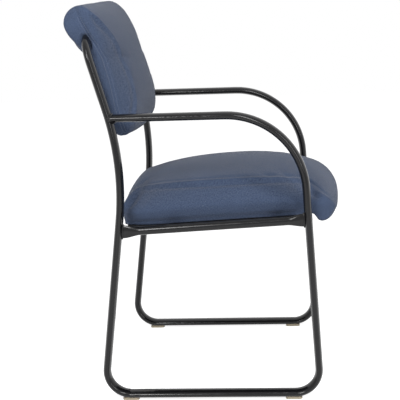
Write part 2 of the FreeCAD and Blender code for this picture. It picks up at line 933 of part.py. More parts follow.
def back_foam():
    """Front foam of the back, in front of the board and round its edges."""
    foam = back_form(back_cover_gap).common(back_slab(-back_width, -board_face))
    half = back_board_width / 2 + soft_clearance
    pocket = box(
        Vector(-half, -board_front - soft_clearance, back_board_low - soft_clearance),
        Vector(half, 0, back_board_high + soft_clearance),
    )
    foam = foam.cut(pocket)
    recess = t_nut_flange_diameter / 2 + soft_clearance
    for x in back_bolt_places():
        start = Vector(x, -board_front + cut_past, back_bar_rise)
        depth = t_nut_flange_thick + recess_clearance
        foam = foam.cut(cylinder(recess, depth, start, Y_AXIS * -1))
    return back_place(foam)


def back_rear_pad():
    """Thin rear padding with the top roll, hollowed for the stubs and their straps."""
    pad = back_form(back_cover_gap).common(back_slab(-board_face + soft_clearance, back_width))
    stub_z = stub_rise
    half_x = half_spacing - upright_stub_length - plug_flange - soft_clearance
    around = seat_clearance + saddle_thick + soft_clearance
    tall = saddle_reach() + soft_clearance
    for side in SIDES.values():
        near = side * half_x
        far = side * back_width
        pocket = box(
            Vector(min(near, far), -board_face, stub_z - tall),
            Vector(max(near, far), 0, stub_z + tall),
        )
        pad = pad.cut(pocket)
        hollow = oval_face(
            Vector(near, 0, stub_z), X_AXIS * side, Z_AXIS,
            tube_wide + 2 * around, tube_thick + 2 * around,
        )
        pad = pad.cut(hollow.extrude(X_AXIS * (far - near)))
    for x in back_bolt_places():
        start = Vector(x, -board_face - cut_past, back_bar_rise)
        radius = bolt_diameter / 2 + cover_hole_clearance
        pad = pad.cut(cylinder(radius, back_width, start, Y_AXIS))
    pad = back_place(pad)
    for bar in stub_clearance_bars():
        pad = pad.cut(bar)
    return pad


def back_seam_plane():
    """Y of the seam between the front and the rear cover."""
    return -board_front - back_seam_from_board


def back_cover_shell():
    """Whole fabric shell of the back before it is divided at the seam."""
    return back_form(0.0).cut(back_form(cover_thick))


def back_front_cover():
    """Front and side fabric of the back, as far as the side seam."""
    shell = back_cover_shell().common(back_slab(-back_width, back_seam_plane()))
    return back_place(shell)


def back_rear_cover():
    """Rear fabric of the back with the slots that the tubes pass through."""
    shell = back_cover_shell().common(back_slab(back_seam_plane(), back_width))
    for x in back_bolt_places():
        start = Vector(x, -board_face, back_bar_rise)
        radius = bolt_diameter / 2 + cover_hole_clearance
        shell = shell.cut(cylinder(radius, back_width, start, Y_AXIS))
    shell = back_place(shell)
    for bar in stub_clearance_bars():
        shell = shell.cut(bar)
    return shell


def back_bar():
    """Flat bar welded between the uprights behind the back."""
    front_y = back_rear_face + seat_clearance
    bar = box(
        Vector(-half_spacing, front_y, back_bar_rise - back_bar_height / 2),
        Vector(half_spacing, front_y + back_bar_thick, back_bar_rise + back_bar_height / 2),
    )
    for x in back_bolt_places():
        start = Vector(x, front_y - cut_past, back_bar_rise)
        radius = (bolt_diameter + bolt_hole_clearance) / 2
        bar = bar.cut(cylinder(radius, back_bar_thick + 2 * cut_past, start, Y_AXIS))
    bar = back_place(bar)
    for side in SIDES.values():
        bar = bar.cut(side_loop_bar(side))
    return max(bar.Solids, key=lambda solid: solid.Volume)


def back_fasteners():
    """Bolts and T-nuts of the back, in place."""
    bolts = []
    nuts = []
    head_face = back_rear_face + seat_clearance + back_bar_thick
    forward = Y_AXIS * -1
    for x in back_bolt_places():
        under_head = Vector(x, head_face, back_bar_rise)
        bolts.append(back_place(hex_bolt(under_head, forward, head_face + board_front)))
        flange_face = Vector(x, -board_front, back_bar_rise)
        nuts.append(back_place(t_nut(flange_face, forward, back_board_thick)))
    return bolts, nuts


def saddle_arch(x, grow):
    """Half oval over the stub with straight sides down past the board's face."""
    start_x = x - saddle_width / 2
    stub_z = stub_rise
    half_wide = tube_wide / 2 + grow
    low_y = -board_face - cut_past
    low = Vector(start_x, 0, stub_z - half_wide)
    high = Vector(start_x, 0, stub_z + half_wide)
    middle = Vector(start_x, tube_thick / 2 + grow, stub_z)
    oval = Part.Ellipse(high, middle, Vector(start_x, 0, stub_z))
    corners = [
        low,
        Vector(start_x, low_y, low.z),
        Vector(start_x, low_y, high.z),
        high,
    ]
    edges = [Part.LineSegment(a, b).toShape() for a, b in zip(corners, corners[1:])]
    edges.append(Part.ArcOfEllipse(oval, 0, math.pi).toShape())
    face = Part.Face(Part.Wire(Part.__sortEdges__(edges)))
    return face.extrude(X_AXIS * saddle_width)


def saddles():
    """Straps that hold the stubs to the board."""
    stub_z = stub_rise
    straps = []
    for x in saddle_places():
        feet = box(
            Vector(x - saddle_width / 2, -board_face, stub_z - saddle_reach()),
            Vector(x + saddle_width / 2, -board_face + saddle_thick, stub_z + saddle_reach()),
        )
        strap = saddle_arch(x, seat_clearance + saddle_thick).fuse(feet)
        strap = strap.cut(saddle_arch(x, seat_clearance))
        strap = strap.cut(back_slab(-back_width, -board_face))
        radius = screw_diameter / 2 + screw_hole_clearance
        for screw_x, screw_z in saddle_screw_places():
            hole = Vector(screw_x, -board_face - cut_past, screw_z)
            strap = strap.cut(cylinder(radius, saddle_thick + 2 * cut_past, hole, Y_AXIS))
        straps.append(back_place(max(strap.Solids, key=lambda solid: solid.Volume)))
    return straps


def saddle_screws():
    """Round head screws through the saddle feet into the board."""
    screws = []
    for x, z in saddle_screw_places():
        seat = Vector(x, -board_face + saddle_thick, z)
        head = cylinder(screw_head_diameter / 2, screw_head_height, seat, Y_AXIS)
        length = saddle_thick + screw_length_in_board
        shank = cylinder(screw_diameter / 2, length, seat, Y_AXIS * -1)
        screws.append(back_place(head.fuse(shank)))
    return screws


def build_nodes():
    """All named nodes of the chair, each a shape or a group of separate solids."""
    nodes = {}
    for name, side in SIDES.items():
        nodes["side_loop_" + name] = side_loop(side)
        nodes["seat_rail_" + name] = seat_rail(side)
        for end, y in glide_places().items():
            nodes["glide_" + end + "_" + name] = glide(side, y)
    nodes["arm_welds"] = [arm_weld(side) for side in SIDES.values()]
    nodes["seat_rail_welds"] = rail_welds(RIGHT) + rail_welds(LEFT)
    nodes["stub_plugs"] = [stub_plug(side) for side in SIDES.values()]
    nodes["cross_rail_front"] = cross_rail(cross_rail_front_y)
    nodes["cross_rail_rear"] = cross_rail(cross_rail_rear_y)
    nodes["cross_rail_welds"] = cross_rail_welds(cross_rail_front_y)
    nodes["cross_rail_welds"] += cross_rail_welds(cross_rail_rear_y)
    nodes["seat_board"] = seat_board()
    nodes["seat_foam"] = seat_foam()
    nodes["seat_cover"] = seat_cover()
    nodes["seat_dust_cover"] = seat_dust_cover()
    bolts, washers, nuts = seat_fasteners()
    nodes["seat_bolts"] = bolts
    nodes["seat_washers"] = washers
    nodes["seat_t_nuts"] = nuts
    nodes["back_board"] = back_board()
    nodes["back_foam"] = back_foam()
    nodes["back_rear_pad"] = back_rear_pad()
    nodes["back_front_cover"] = back_front_cover()
    nodes["back_rear_cover"] = back_rear_cover()
    nodes["back_bar"] = back_bar()
    bolts, nuts = back_fasteners()
    nodes["back_bolts"] = bolts
    nodes["back_t_nuts"] = nuts
    nodes["saddles"] = saddles()
    nodes["saddle_screws"] = saddle_screws()
    return nodes


def as_compound(shape):
    """Compound of a node's solids."""
    if isinstance(shape, list):
        solids = [solid for item in shape for solid in item.Solids]
    else:
        solids = shape.Solids
    return Part.makeCompound(solids)


def main():
    """Builds the chair, centres it over the origin and writes one file per node."""
    os.makedirs("parts", exist_ok=True)
    nodes = {name: as_compound(shape) for name, shape in build_nodes().items()}
    overall = FreeCAD.BoundBox()
    for shape in nodes.values():
        overall.add(shape.optimalBoundingBox(True, False))
    shift = Vector(-overall.Center.x, -overall.Center.y, -overall.ZMin)
    for name, shape in nodes.items():
        shape.translate(shift)
        shape.exportStep("parts/" + name + ".step")
        print(name, len(shape.Solids), "solids", round(shape.Volume), "mm3", shape.isValid())
    print("shift", [round(value, 2) for value in shift])
    print("size", round(overall.XLength), round(overall.YLength), round(overall.ZLength))


main()
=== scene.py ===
"""Looks of a sled base visitor chair, built round its packed steel frame.

The chair faces -Y, X runs across it and +Z is up. Lengths are in metres.
"""

import json
import logging
import math
from abc import ABC, abstractmethod
from collections.abc import Sequence
from dataclasses import dataclass, field
from enum import Enum
from functools import cached_property

import bmesh
import bpy
import numpy as np
from mathutils import Matrix, Vector
from mathutils.bvhtree import BVHTree

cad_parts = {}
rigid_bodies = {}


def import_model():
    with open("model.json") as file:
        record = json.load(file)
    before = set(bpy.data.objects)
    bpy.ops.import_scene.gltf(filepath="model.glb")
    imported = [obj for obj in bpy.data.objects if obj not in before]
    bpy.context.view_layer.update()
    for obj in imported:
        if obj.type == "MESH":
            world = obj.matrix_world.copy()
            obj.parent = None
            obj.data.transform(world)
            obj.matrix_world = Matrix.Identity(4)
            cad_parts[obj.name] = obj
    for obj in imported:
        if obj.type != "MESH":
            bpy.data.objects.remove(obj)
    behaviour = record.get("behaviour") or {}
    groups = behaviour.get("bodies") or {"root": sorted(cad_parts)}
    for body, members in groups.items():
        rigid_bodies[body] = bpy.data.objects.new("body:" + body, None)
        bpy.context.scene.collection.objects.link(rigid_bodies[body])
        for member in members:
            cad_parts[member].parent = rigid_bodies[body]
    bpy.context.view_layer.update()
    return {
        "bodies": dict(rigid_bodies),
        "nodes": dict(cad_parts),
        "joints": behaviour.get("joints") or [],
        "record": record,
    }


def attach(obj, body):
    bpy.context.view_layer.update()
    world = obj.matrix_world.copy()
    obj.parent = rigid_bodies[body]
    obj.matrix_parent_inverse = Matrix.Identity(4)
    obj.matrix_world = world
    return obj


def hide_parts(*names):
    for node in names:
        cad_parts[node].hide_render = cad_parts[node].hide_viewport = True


LOG = logging.getLogger("visitor_chair")
BODY = "root"
MILLIMETRE = 0.001
NEARLY_ONE = 0.999

Colour = tuple[float, float, float]
Place = tuple[float, float, float]
Socket = bpy.types.NodeSocket


class Side(Enum):
    """Sides of the chair, as the sitter has them, with the sign of X."""

    RIGHT = -1
    LEFT = 1


@dataclass(frozen=True)
class Span:
    """Smooth change from a start to an end while a value goes from low to high."""

    low: float
    high: float
    start: float = 0.0
    end: float = 1.0

    def at(self, value: np.ndarray) -> np.ndarray:
        """The result at each value."""
        share = np.clip((value - self.low) / (self.high - self.low), 0, 1)
        return self.start + (self.end - self.start) * share * share * (3 - 2 * share)


@dataclass(frozen=True)
class Fold:
    """Bell shaped ridge in a surface, or a groove where its height is negative."""

    height: float
    centre: float
    width: float

    def at(self, value: np.ndarray) -> np.ndarray:
        """The fold's height at each value."""
        return self.height * np.exp(-(((value - self.centre) / self.width) ** 2))


@dataclass(frozen=True)
class Grain:
    """Noise: its waves for each metre, or for each along an axis, and its fineness."""

    scale: float | Place
    layers: float = 2.0
    layer_strength: float = 0.5


@dataclass(frozen=True)
class Relief:
    """Fine relief of a finish: its depth in metres and the share of it that shows."""

    depth: float
    strength: float


def rgba(colour: Colour, shade: float = 1.0) -> tuple[float, ...]:
    """The colour, lightened or darkened by a factor, with full opacity."""
    return (*(shade * part for part in colour), 1.0)


def identified(sockets: bpy.types.NodeInputs, identifier: str) -> Socket:
    """The socket that has an identifier, where several share a name."""
    return next(socket for socket in sockets if socket.identifier == identifier)


class NodeCanvas:
    """A node tree with short calls for adding and joining its nodes."""

    def __init__(self, tree: bpy.types.NodeTree) -> None:
        """Empties the tree."""
        self.tree = tree
        tree.nodes.clear()

    def feed(self, socket: Socket, value: object) -> None:
        """Joins a socket, or sets a constant, to an input.

        Args:
            socket: Input to join or set.
            value: Another socket, or a constant.
        """
        if isinstance(value, Socket):
            self.tree.links.new(value, socket)
        else:
            socket.default_value = value

    def add(
        self, kind: str, feeds: dict[str | int, object] | None = None, **settings: object
    ) -> bpy.types.Node:
        """Adds a node.

        Args:
            kind: Blender's node type.
            feeds: A socket or a constant for each input, by its name or number.
            **settings: Properties of the node by name.

        Returns:
            The new node.
        """
        node = self.tree.nodes.new(kind)
        for name, value in settings.items():
            setattr(node, name, value)
        for name, value in (feeds or {}).items():
            self.feed(node.inputs[name], value)
        return node

    def math(self, operation: str, *values: object) -> Socket:
        """Result of a Math node on sockets or numbers."""
        return self.add("ShaderNodeMath", dict(enumerate(values)), operation=operation).outputs[0]


class ShaderTree(NodeCanvas):
    """A material's node tree, which ends in one main shader."""

    def __init__(self, name: str) -> None:
        """Starts a material of that name with its output and main shader.

        Args:
            name: Name to give it.
        """
        self.material = bpy.data.materials.new(name)
        self.material.use_nodes = True
        super().__init__(self.material.node_tree)
        self.shader = self.add("ShaderNodeBsdfPrincipled")
        self.add("ShaderNodeOutputMaterial", {"Surface": self.shader.outputs["BSDF"]})
        coordinates = self.add("ShaderNodeTexCoord").outputs
        self.place = coordinates["Object"]
        self.cloth = coordinates["UV"]

    def mix(self, share: object, first: object, second: object) -> Socket:
        """Mixes two colours.

        Args:
            share: Share of the second colour, a socket or a number.
            first: First colour.
            second: Second colour.

        Returns:
            The mixed colour's socket.
        """
        node = self.add("ShaderNodeMix", data_type="RGBA")
        for name, value in (("Factor_Float", share), ("A_Color", first), ("B_Color", second)):
            self.feed(identified(node.inputs, name), value)
        return identified(node.outputs, "Result_Color")

    def ramp(self, value: Socket, span: Span) -> Socket:
        """Takes a value smoothly through a span.

        Args:
            value: Socket to map.
            span: Where the change runs, and its start and end.

        Returns:
            The mapped value's socket.
        """
        feeds = dict(enumerate((value, span.low, span.high, span.start, span.end)))
        return self.add("ShaderNodeMapRange", feeds, interpolation_type="SMOOTHSTEP").outputs[0]

    def noise(self, vector: Socket, grain: Grain) -> Socket:
        """Noise from 0 to 1.

        Args:
            vector: Coordinates to read.
            grain: Size and fineness of the noise.

        Returns:
            The value's socket.
        """
        scale = grain.scale
        if isinstance(scale, tuple):
            vector = self.add("ShaderNodeMapping", {"Vector": vector, "Scale": scale}).outputs[0]
            scale = 1.0
        feeds = {
            "Vector": vector, "Scale": scale,
            "Detail": grain.layers, "Roughness": grain.layer_strength,
        }
        return self.add("ShaderNodeTexNoise", feeds).outputs[0]

    def bump(self, height: Socket, relief: Relief, beneath: Socket | None = None) -> Socket:
        """Turns a height into a normal.

        Args:
            height: Height from 0 to 1.
            relief: Depth that a height of 1 stands for, and its strength.
            beneath: Normal of a bump beneath this one.

        Returns:
            The normal's socket.
        """
        feeds = {"Height": height, "Distance": relief.depth, "Strength": relief.strength}
        if beneath is not None:
            feeds["Normal"] = beneath
        return self.add("ShaderNodeBump", feeds).outputs[0]

    def set(self, name: str, value: object) -> None:
        """Sets or joins an input of the main shader by name."""
        self.feed(self.shader.inputs[name], value)

    def surface(self, colour: object, roughness: Socket, normal: Socket) -> None:
        """Joins the three inputs of the main shader that every finish has."""
        for name, value in (("Base Color", colour), ("Roughness", roughness), ("Normal", normal)):
            self.set(name, value)


@dataclass(frozen=True)
class Finish(ABC):
    """A procedural finish."""

    @abstractmethod
    def dress(self, shade: ShaderTree) -> None:
        """Joins the finish's nodes to a material's main shader."""

    def build(self, name: str) -> bpy.types.Material:
        """Makes the finish's material under a name.

        Args:
            name: Name to give it.

        Returns:
            The new material.
        """
        shade = ShaderTree(name)
        self.dress(shade)
        return shade.material


@dataclass(frozen=True)
class WovenFabric(Finish):
    """Plain woven polyester with a soft sheen, which reads the piece's own UV map."""

    warp: Colour = (0.040, 0.060, 0.112)
    weft: Colour = (0.058, 0.086, 0.156)
    fleck: Colour = (0.130, 0.165, 0.240)
    hollow_shade: float = 0.30
    worn_shade: float = 1.18
    yarn_pitch: float = 1.5 * MILLIMETRE
    yarn_relief: Relief = Relief(0.35 * MILLIMETRE, 0.6)
    yarn_roughness: Span = Span(0.0, 1.0, 0.95, 0.78)
    slubs: Grain = Grain((900.0, 260.0, 1.0), 3.0)
    fleck_share: Span = Span(0.54, 0.72, 0.0, 0.55)
    grain: Grain = Grain((420.0, 420.0, 1.0), 3.0, 0.7)
    hollow_share: Span = Span(0.56, 0.34, 0.0, 0.50)
    patches: Grain = Grain(9.0, 3.0)
    worn_share: Span = Span(0.52, 0.72, 0.0, 0.3)
    wrinkles: Grain = Grain(32.0, 3.0, 0.45)
    wrinkle_relief: Relief = Relief(1.2 * MILLIMETRE, 0.35)
    specular: float = 0.25
    sheen: Span = Span(0.36, 0.62, 0.042, 0.238)
    sheen_roughness: float = 0.5
    sheen_tint: Colour = (0.95, 0.93, 0.88)

    def dress(self, shade: ShaderTree) -> None:
        """Lays flecks, hollows and worn patches over the weave of both yarns.

        Args:
            shade: The material's tree.
        """
        height, over = self._weave(shade)
        grain = shade.noise(shade.cloth, self.grain)
        flecks = shade.ramp(shade.noise(shade.cloth, self.slubs), self.fleck_share)
        hollows = shade.ramp(grain, self.hollow_share)
        worn = shade.ramp(shade.noise(shade.place, self.patches), self.worn_share)
        colour = shade.mix(over, rgba(self.warp), rgba(self.weft))
        colour = shade.mix(flecks, colour, rgba(self.fleck))
        colour = shade.mix(hollows, colour, rgba(self.warp, self.hollow_shade))
        colour = shade.mix(worn, colour, rgba(self.weft, self.worn_shade))
        wrinkled = shade.bump(shade.noise(shade.place, self.wrinkles), self.wrinkle_relief)
        normal = shade.bump(height, self.yarn_relief, wrinkled)
        shade.surface(colour, shade.ramp(height, self.yarn_roughness), normal)
        shade.set("Specular IOR Level", self.specular)
        shade.set("Sheen Weight", shade.ramp(grain, self.sheen))
        shade.set("Sheen Roughness", self.sheen_roughness)
        shade.set("Sheen Tint", rgba(self.sheen_tint))

    def _weave(self, shade: ShaderTree) -> tuple[Socket, Socket]:
        """Height of a plain weave, and which yarn is on top.

        Args:
            shade: Tree to add to.

        Returns:
            The height's socket and the socket that is 1 where the weft is on top.
        """
        along = shade.add("ShaderNodeSeparateXYZ", {0: shade.cloth}).outputs
        turn = math.pi / self.yarn_pitch
        waves = [shade.math("SINE", shade.math("MULTIPLY", along[k], turn)) for k in (0, 1)]
        over = shade.math("GREATER_THAN", shade.math("MULTIPLY", *waves), 0.0)
        crests = [shade.math("ABSOLUTE", wave) for wave in waves]
        low = shade.math("MULTIPLY", crests[0], shade.math("SUBTRACT", 1.0, over))
        high = shade.math("MULTIPLY", crests[1], over)
        return shade.math("ADD", low, high), over


@dataclass(frozen=True)
class PowderCoat(Finish):
    """Glossy powder coat over steel, with fine orange peel and rubbed patches."""

    colour: Colour = (0.006, 0.006, 0.007)
    worn: Colour = (0.016, 0.016, 0.018)
    roughness: float = 0.11
    rubbed_roughness: float = 0.07
    rub: Grain = Grain(38.0, 4.0, 0.6)
    rub_share: Span = Span(0.58, 0.78)
    scuffs: Grain = Grain((240.0, 60.0, 60.0))
    scuff_share: Span = Span(0.5, 0.75)
    peel: Grain = Grain(420.0)
    peel_relief: Relief = Relief(0.02 * MILLIMETRE, 0.35)
    specular: float = 0.28

    def dress(self, shade: ShaderTree) -> None:
        """Wears the coat where a rubbed patch and a scuff meet.

        Args:
            shade: The material's tree.
        """
        rub = shade.noise(shade.place, self.rub)
        scuffs = shade.noise(shade.place, self.scuffs)
        wear = shade.math(
            "MULTIPLY", shade.ramp(rub, self.rub_share), shade.ramp(scuffs, self.scuff_share)
        )
        duller = Span(0.30, 0.75, self.roughness, self.roughness + self.rubbed_roughness)
        shade.surface(
            shade.mix(wear, rgba(self.colour), rgba(self.worn)),
            shade.ramp(rub, duller),
            shade.bump(shade.noise(shade.place, self.peel), self.peel_relief),
        )
        shade.set("Specular IOR Level", self.specular)


@dataclass(frozen=True)
class MouldedPlastic(Finish):
    """Moulded plastic with fine grain; clear grades let some light through."""

    colour: Colour
    roughness: float = 0.42
    clear: float = 0.0
    deep_shade: float = 0.72
    dulling: float = 0.15
    clouds: Grain = Grain(60.0, 3.0)
    texture: Grain = Grain(900.0)
    texture_relief: Relief = Relief(0.05 * MILLIMETRE, 0.5)

    def dress(self, shade: ShaderTree) -> None:
        """Clouds the colour and the gloss.

        Args:
            shade: The material's tree.
        """
        cloud = shade.noise(shade.place, self.clouds)
        duller = Span(0.3, 0.7, self.roughness, self.roughness + self.dulling)
        shade.surface(
            shade.mix(cloud, rgba(self.colour, self.deep_shade), rgba(self.colour)),
            shade.ramp(cloud, duller),
            shade.bump(shade.noise(shade.place, self.texture), self.texture_relief),
        )
        shade.set("Transmission Weight", self.clear)


@dataclass(frozen=True)
class ZincPlate(Finish):
    """Bright zinc on fasteners, with faint turning marks and dull patches."""

    colour: Colour = (0.52, 0.53, 0.55)
    dull: Colour = (0.30, 0.30, 0.32)
    patches: Grain = Grain(260.0, 4.0)
    roughness: Span = Span(0.3, 0.7, 0.28, 0.5)
    marks: Grain = Grain(1400.0)
    mark_relief: Relief = Relief(0.04 * MILLIMETRE, 0.5)

    def dress(self, shade: ShaderTree) -> None:
        """Dulls the metal in patches.

        Args:
            shade: The material's tree.
        """
        patches = shade.noise(shade.place, self.patches)
        shade.surface(
            shade.mix(patches, rgba(self.dull), rgba(self.colour)),
            shade.ramp(patches, self.roughness),
            shade.bump(shade.noise(shade.place, self.marks), self.mark_relief),
        )
        shade.set("Metallic", 1.0)


@dataclass(frozen=True)
class Plywood(Finish):
    """Birch plywood with grain along X and thin plies through its thickness."""

    light: Colour = (0.56, 0.40, 0.24)
    dark: Colour = (0.36, 0.23, 0.12)
    grain: Grain = Grain((7.0, 130.0, 130.0), 5.0, 0.6)
    plies: Grain = Grain((3.0, 3.0, 650.0), 1.0)
    grain_share: Span = Span(0.3, 0.7)
    ply_share: Span = Span(0.2, 0.6)
    roughness: Span = Span(0.2, 0.8, 0.55, 0.75)
    grain_relief: Relief = Relief(0.12 * MILLIMETRE, 0.6)

    def dress(self, shade: ShaderTree) -> None:
        """Crosses the grain with the plies.

        Args:
            shade: The material's tree.
        """
        grain = shade.noise(shade.place, self.grain)
        plies = shade.noise(shade.place, self.plies)
        tone = shade.math(
            "MULTIPLY", shade.ramp(grain, self.grain_share), shade.ramp(plies, self.ply_share)
        )
        shade.surface(
            shade.mix(tone, rgba(self.dark), rgba(self.light)),
            shade.ramp(grain, self.roughness),
            shade.bump(grain, self.grain_relief),
        )


@dataclass(frozen=True)
class BondedFibre(Finish):
    """Thin black bonded fibre sheet with an embossed dot pattern."""

    colour: Colour = (0.012, 0.012, 0.014)
    fibre: Colour = (0.045, 0.045, 0.050)
    fibres: Grain = Grain((900.0, 300.0, 300.0), 4.0, 0.7)
    fibre_share: Span = Span(0.45, 0.75)
    dots_per_metre: float = 600.0
    dot_scatter: float = 0.15
    dot_edge: Span = Span(0.15, 0.4)
    roughness: Span = Span(0.3, 0.8, 0.75, 0.95)
    dot_relief: Relief = Relief(0.15 * MILLIMETRE, 0.7)

    def dress(self, shade: ShaderTree) -> None:
        """Presses dots into the fibres.

        Args:
            shade: The material's tree.
        """
        fibres = shade.noise(shade.place, self.fibres)
        dots = shade.add("ShaderNodeTexVoronoi", {
            "Vector": shade.place, "Scale": self.dots_per_metre, "Randomness": self.dot_scatter,
        })
        press = shade.ramp(dots.outputs["Distance"], self.dot_edge)
        tone = shade.math("MULTIPLY", shade.ramp(fibres, self.fibre_share), press)
        shade.surface(
            shade.mix(tone, rgba(self.colour), rgba(self.fibre)),
            shade.ramp(fibres, self.roughness),
            shade.bump(press, self.dot_relief),
        )


@dataclass(frozen=True)
class SpunThread(Finish):
    """Twisted sewing thread with a slight gloss."""

    colour: Colour = (0.050, 0.068, 0.120)
    lit: Colour = (0.140, 0.175, 0.260)
    twist: Grain = Grain(2600.0)
    roughness: Span = Span(0.3, 0.7, 0.45, 0.65)
    twist_relief: Relief = Relief(0.08 * MILLIMETRE, 0.6)
    sheen: float = 0.3

    def dress(self, shade: ShaderTree) -> None:
        """Takes colour, gloss and relief from the twist.

        Args:
            shade: The material's tree.
        """
        twist = shade.noise(shade.place, self.twist)
        shade.surface(
            shade.mix(twist, rgba(self.colour), rgba(self.lit)),
            shade.ramp(twist, self.roughness),
            shade.bump(twist, self.twist_relief),
        )
        shade.set("Sheen Weight", self.sheen)


class MaterialShelf:
    """Every finish of the chair, made once."""

    def __init__(self) -> None:
        """Builds all the materials."""
        rough_bead = Relief(0.25 * MILLIMETRE, 0.35)
        self.fabric = WovenFabric().build("blue_woven_fabric")
        self.thread = SpunThread().build("blue_sewing_thread")
        self.steel = PowderCoat().build("black_powder_coat")
        self.bead = PowderCoat(roughness=0.28, peel_relief=rough_bead).build("coated_weld_bead")
        self.plate = PowderCoat(roughness=0.32).build("black_coated_plate")
        self.glide = MouldedPlastic((0.60, 0.52, 0.38), 0.30, 0.35).build("clear_glide_plastic")
        self.plug = MouldedPlastic((0.015, 0.015, 0.016), 0.5).build("black_plug_plastic")
        self.zinc = ZincPlate().build("bright_zinc")
        self.oxide = ZincPlate((0.09, 0.09, 0.10), (0.03, 0.03, 0.032)).build("black_oxide_bolt")
        self.plywood = Plywood().build("birch_plywood")
        self.fibre = BondedFibre().build("black_bonded_fibre")

    def by_node(self) -> dict[str, bpy.types.Material]:
        """Material of each carried-over part of the frame, by the start of its name.

        Returns:
            The materials by the start of a part's name.
        """
        return {
            "side_loop": self.steel,
            "seat_rail_welds": self.bead,
            "seat_rail": self.steel,
            "glide": self.glide,
            "arm_welds": self.bead,
            "stub_plugs": self.plug,
            "cross_rail_welds": self.bead,
            "cross_rail": self.plate,
            "seat_board": self.plywood,
            "seat_dust_cover": self.fibre,
            "seat_bolts": self.zinc,
            "seat_washers": self.zinc,
            "seat_t_nuts": self.zinc,
            "back_board": self.plywood,
            "back_bar": self.plate,
            "back_bolts": self.oxide,
            "back_t_nuts": self.zinc,
            "saddles": self.plate,
            "saddle_screws": self.zinc,
        }


class GeometryTree(NodeCanvas):
    """A geometry node group with named inputs, which starts and ends in a geometry."""

    def __init__(self, name: str, inputs: dict[str, str]) -> None:
        """Starts the group.

        Args:
            name: Name of the group.
            inputs: Kind of each further input by its name.
        """
        super().__init__(bpy.data.node_groups.new(name, "GeometryNodeTree"))
        face = self.tree.interface
        for label, kind in {"Geometry": "Geometry", **inputs}.items():
            face.new_socket(label, in_out="INPUT", socket_type="NodeSocket" + kind)
        face.new_socket("Geometry", in_out="OUTPUT", socket_type="NodeSocketGeometry")
        self.source = self.add("NodeGroupInput").outputs

    def finish(self, geometry: Socket) -> None:
        """Ends the group in a geometry."""
        self.add("NodeGroupOutput", {0: geometry})

    def modify(self, piece: bpy.types.Object, name: str, values: dict[str, object]) -> None:
        """Adds the group to a piece as a modifier.

        Args:
            piece: The piece to change.
            name: Name of the modifier.
            values: Value of each input by the input's name.
        """
        modifier = piece.modifiers.new(name, "NODES")
        modifier.node_group = self.tree
        for item in self.tree.interface.items_tree:
            if item.item_type == "SOCKET" and item.in_out == "INPUT" and item.name in values:
                modifier[item.identifier] = values[item.name]


@dataclass
class SmoothShading:
    """Geometry nodes that shade a loose tessellated part smoothly except at real edges."""

    merge_distance: float = 0.01 * MILLIMETRE
    edge_angle: float = math.radians(28.0)

    def build(self) -> GeometryTree:
        """Makes the group, with the merge distance and the edge angle as inputs.

        Returns:
            The tree of the node group.
        """
        inputs = {"Merge distance": "Float", "Edge angle": "Float"}
        tree = GeometryTree("smooth_steel_shading", inputs)
        merge = tree.add("GeometryNodeMergeByDistance", {
            "Geometry": tree.source["Geometry"], "Distance": tree.source["Merge distance"],
        })
        angle = tree.add("GeometryNodeInputMeshEdgeAngle").outputs["Unsigned Angle"]
        sharp = tree.math("GREATER_THAN", angle, tree.source["Edge angle"])
        split = tree.add("GeometryNodeSplitEdges", {"Mesh": merge.outputs[0], "Selection": sharp})
        smooth = tree.add("GeometryNodeSetShadeSmooth", {"Geometry": split.outputs[0]})
        tree.finish(smooth.outputs[0])
        return tree

    def apply(self, part: bpy.types.Object, tree: GeometryTree) -> None:
        """Adds the shading to a part of the frame as a modifier."""
        values = {"Merge distance": self.merge_distance, "Edge angle": self.edge_angle}
        tree.modify(part, "smooth_shading", values)


def read_vectors(items: bpy.types.bpy_prop_collection, name: str) -> np.ndarray:
    """One vector from each item of a mesh's list, as rows of an array.

    Args:
        items: The mesh's list of vertices or normals.
        name: Name of the vector in each item.

    Returns:
        Array of (items, 3) numbers.
    """
    flat = np.zeros(len(items) * 3, np.float32)
    items.foreach_get(name, flat)
    return flat.reshape(-1, 3).astype(float)


def positions(mesh: bpy.types.Mesh) -> np.ndarray:
    """Positions of a mesh's vertices."""
    return read_vectors(mesh.vertices, "co")


def normals(mesh: bpy.types.Mesh) -> np.ndarray:
    """Normals of a mesh's vertices."""
    return read_vectors(mesh.vertex_normals, "vector")


def set_positions(mesh: bpy.types.Mesh, points: np.ndarray) -> None:
    """Moves a mesh's vertices."""
    mesh.vertices.foreach_set("co", points.astype(np.float32).ravel())
    mesh.update()


def add_object(mesh: bpy.types.Mesh, name: str) -> bpy.types.Object:
    """Links a mesh to the scene as an object at the origin.

    Args:
        mesh: The mesh.
        name: Name to give it.

    Returns:
        The new object.
    """
    piece = bpy.data.objects.new(name, mesh)
    bpy.context.scene.collection.objects.link(piece)
    return piece


def shade_smooth(mesh: bpy.types.Mesh) -> None:
    """Marks every face of a mesh as smooth."""
    mesh.polygons.foreach_set("use_smooth", [True] * len(mesh.polygons))


def face_outwards(mesh: bpy.types.Mesh) -> None:
    """Turns the faces of a closed mesh outwards.

    Args:
        mesh: The mesh.
    """
    work = bmesh.new()
    work.from_mesh(mesh)
    bmesh.ops.recalc_face_normals(work, faces=work.faces)
    work.to_mesh(mesh)
    work.free()


def baked(piece: bpy.types.Object) -> bpy.types.Mesh:
    """Plain mesh of an object with its modifiers applied.

    Args:
        piece: The object.

    Returns:
        The new mesh.
    """
    graph = bpy.context.evaluated_depsgraph_get()
    return bpy.data.meshes.new_from_object(
        piece.evaluated_get(graph), preserve_all_data_layers=True, depsgraph=graph
    )


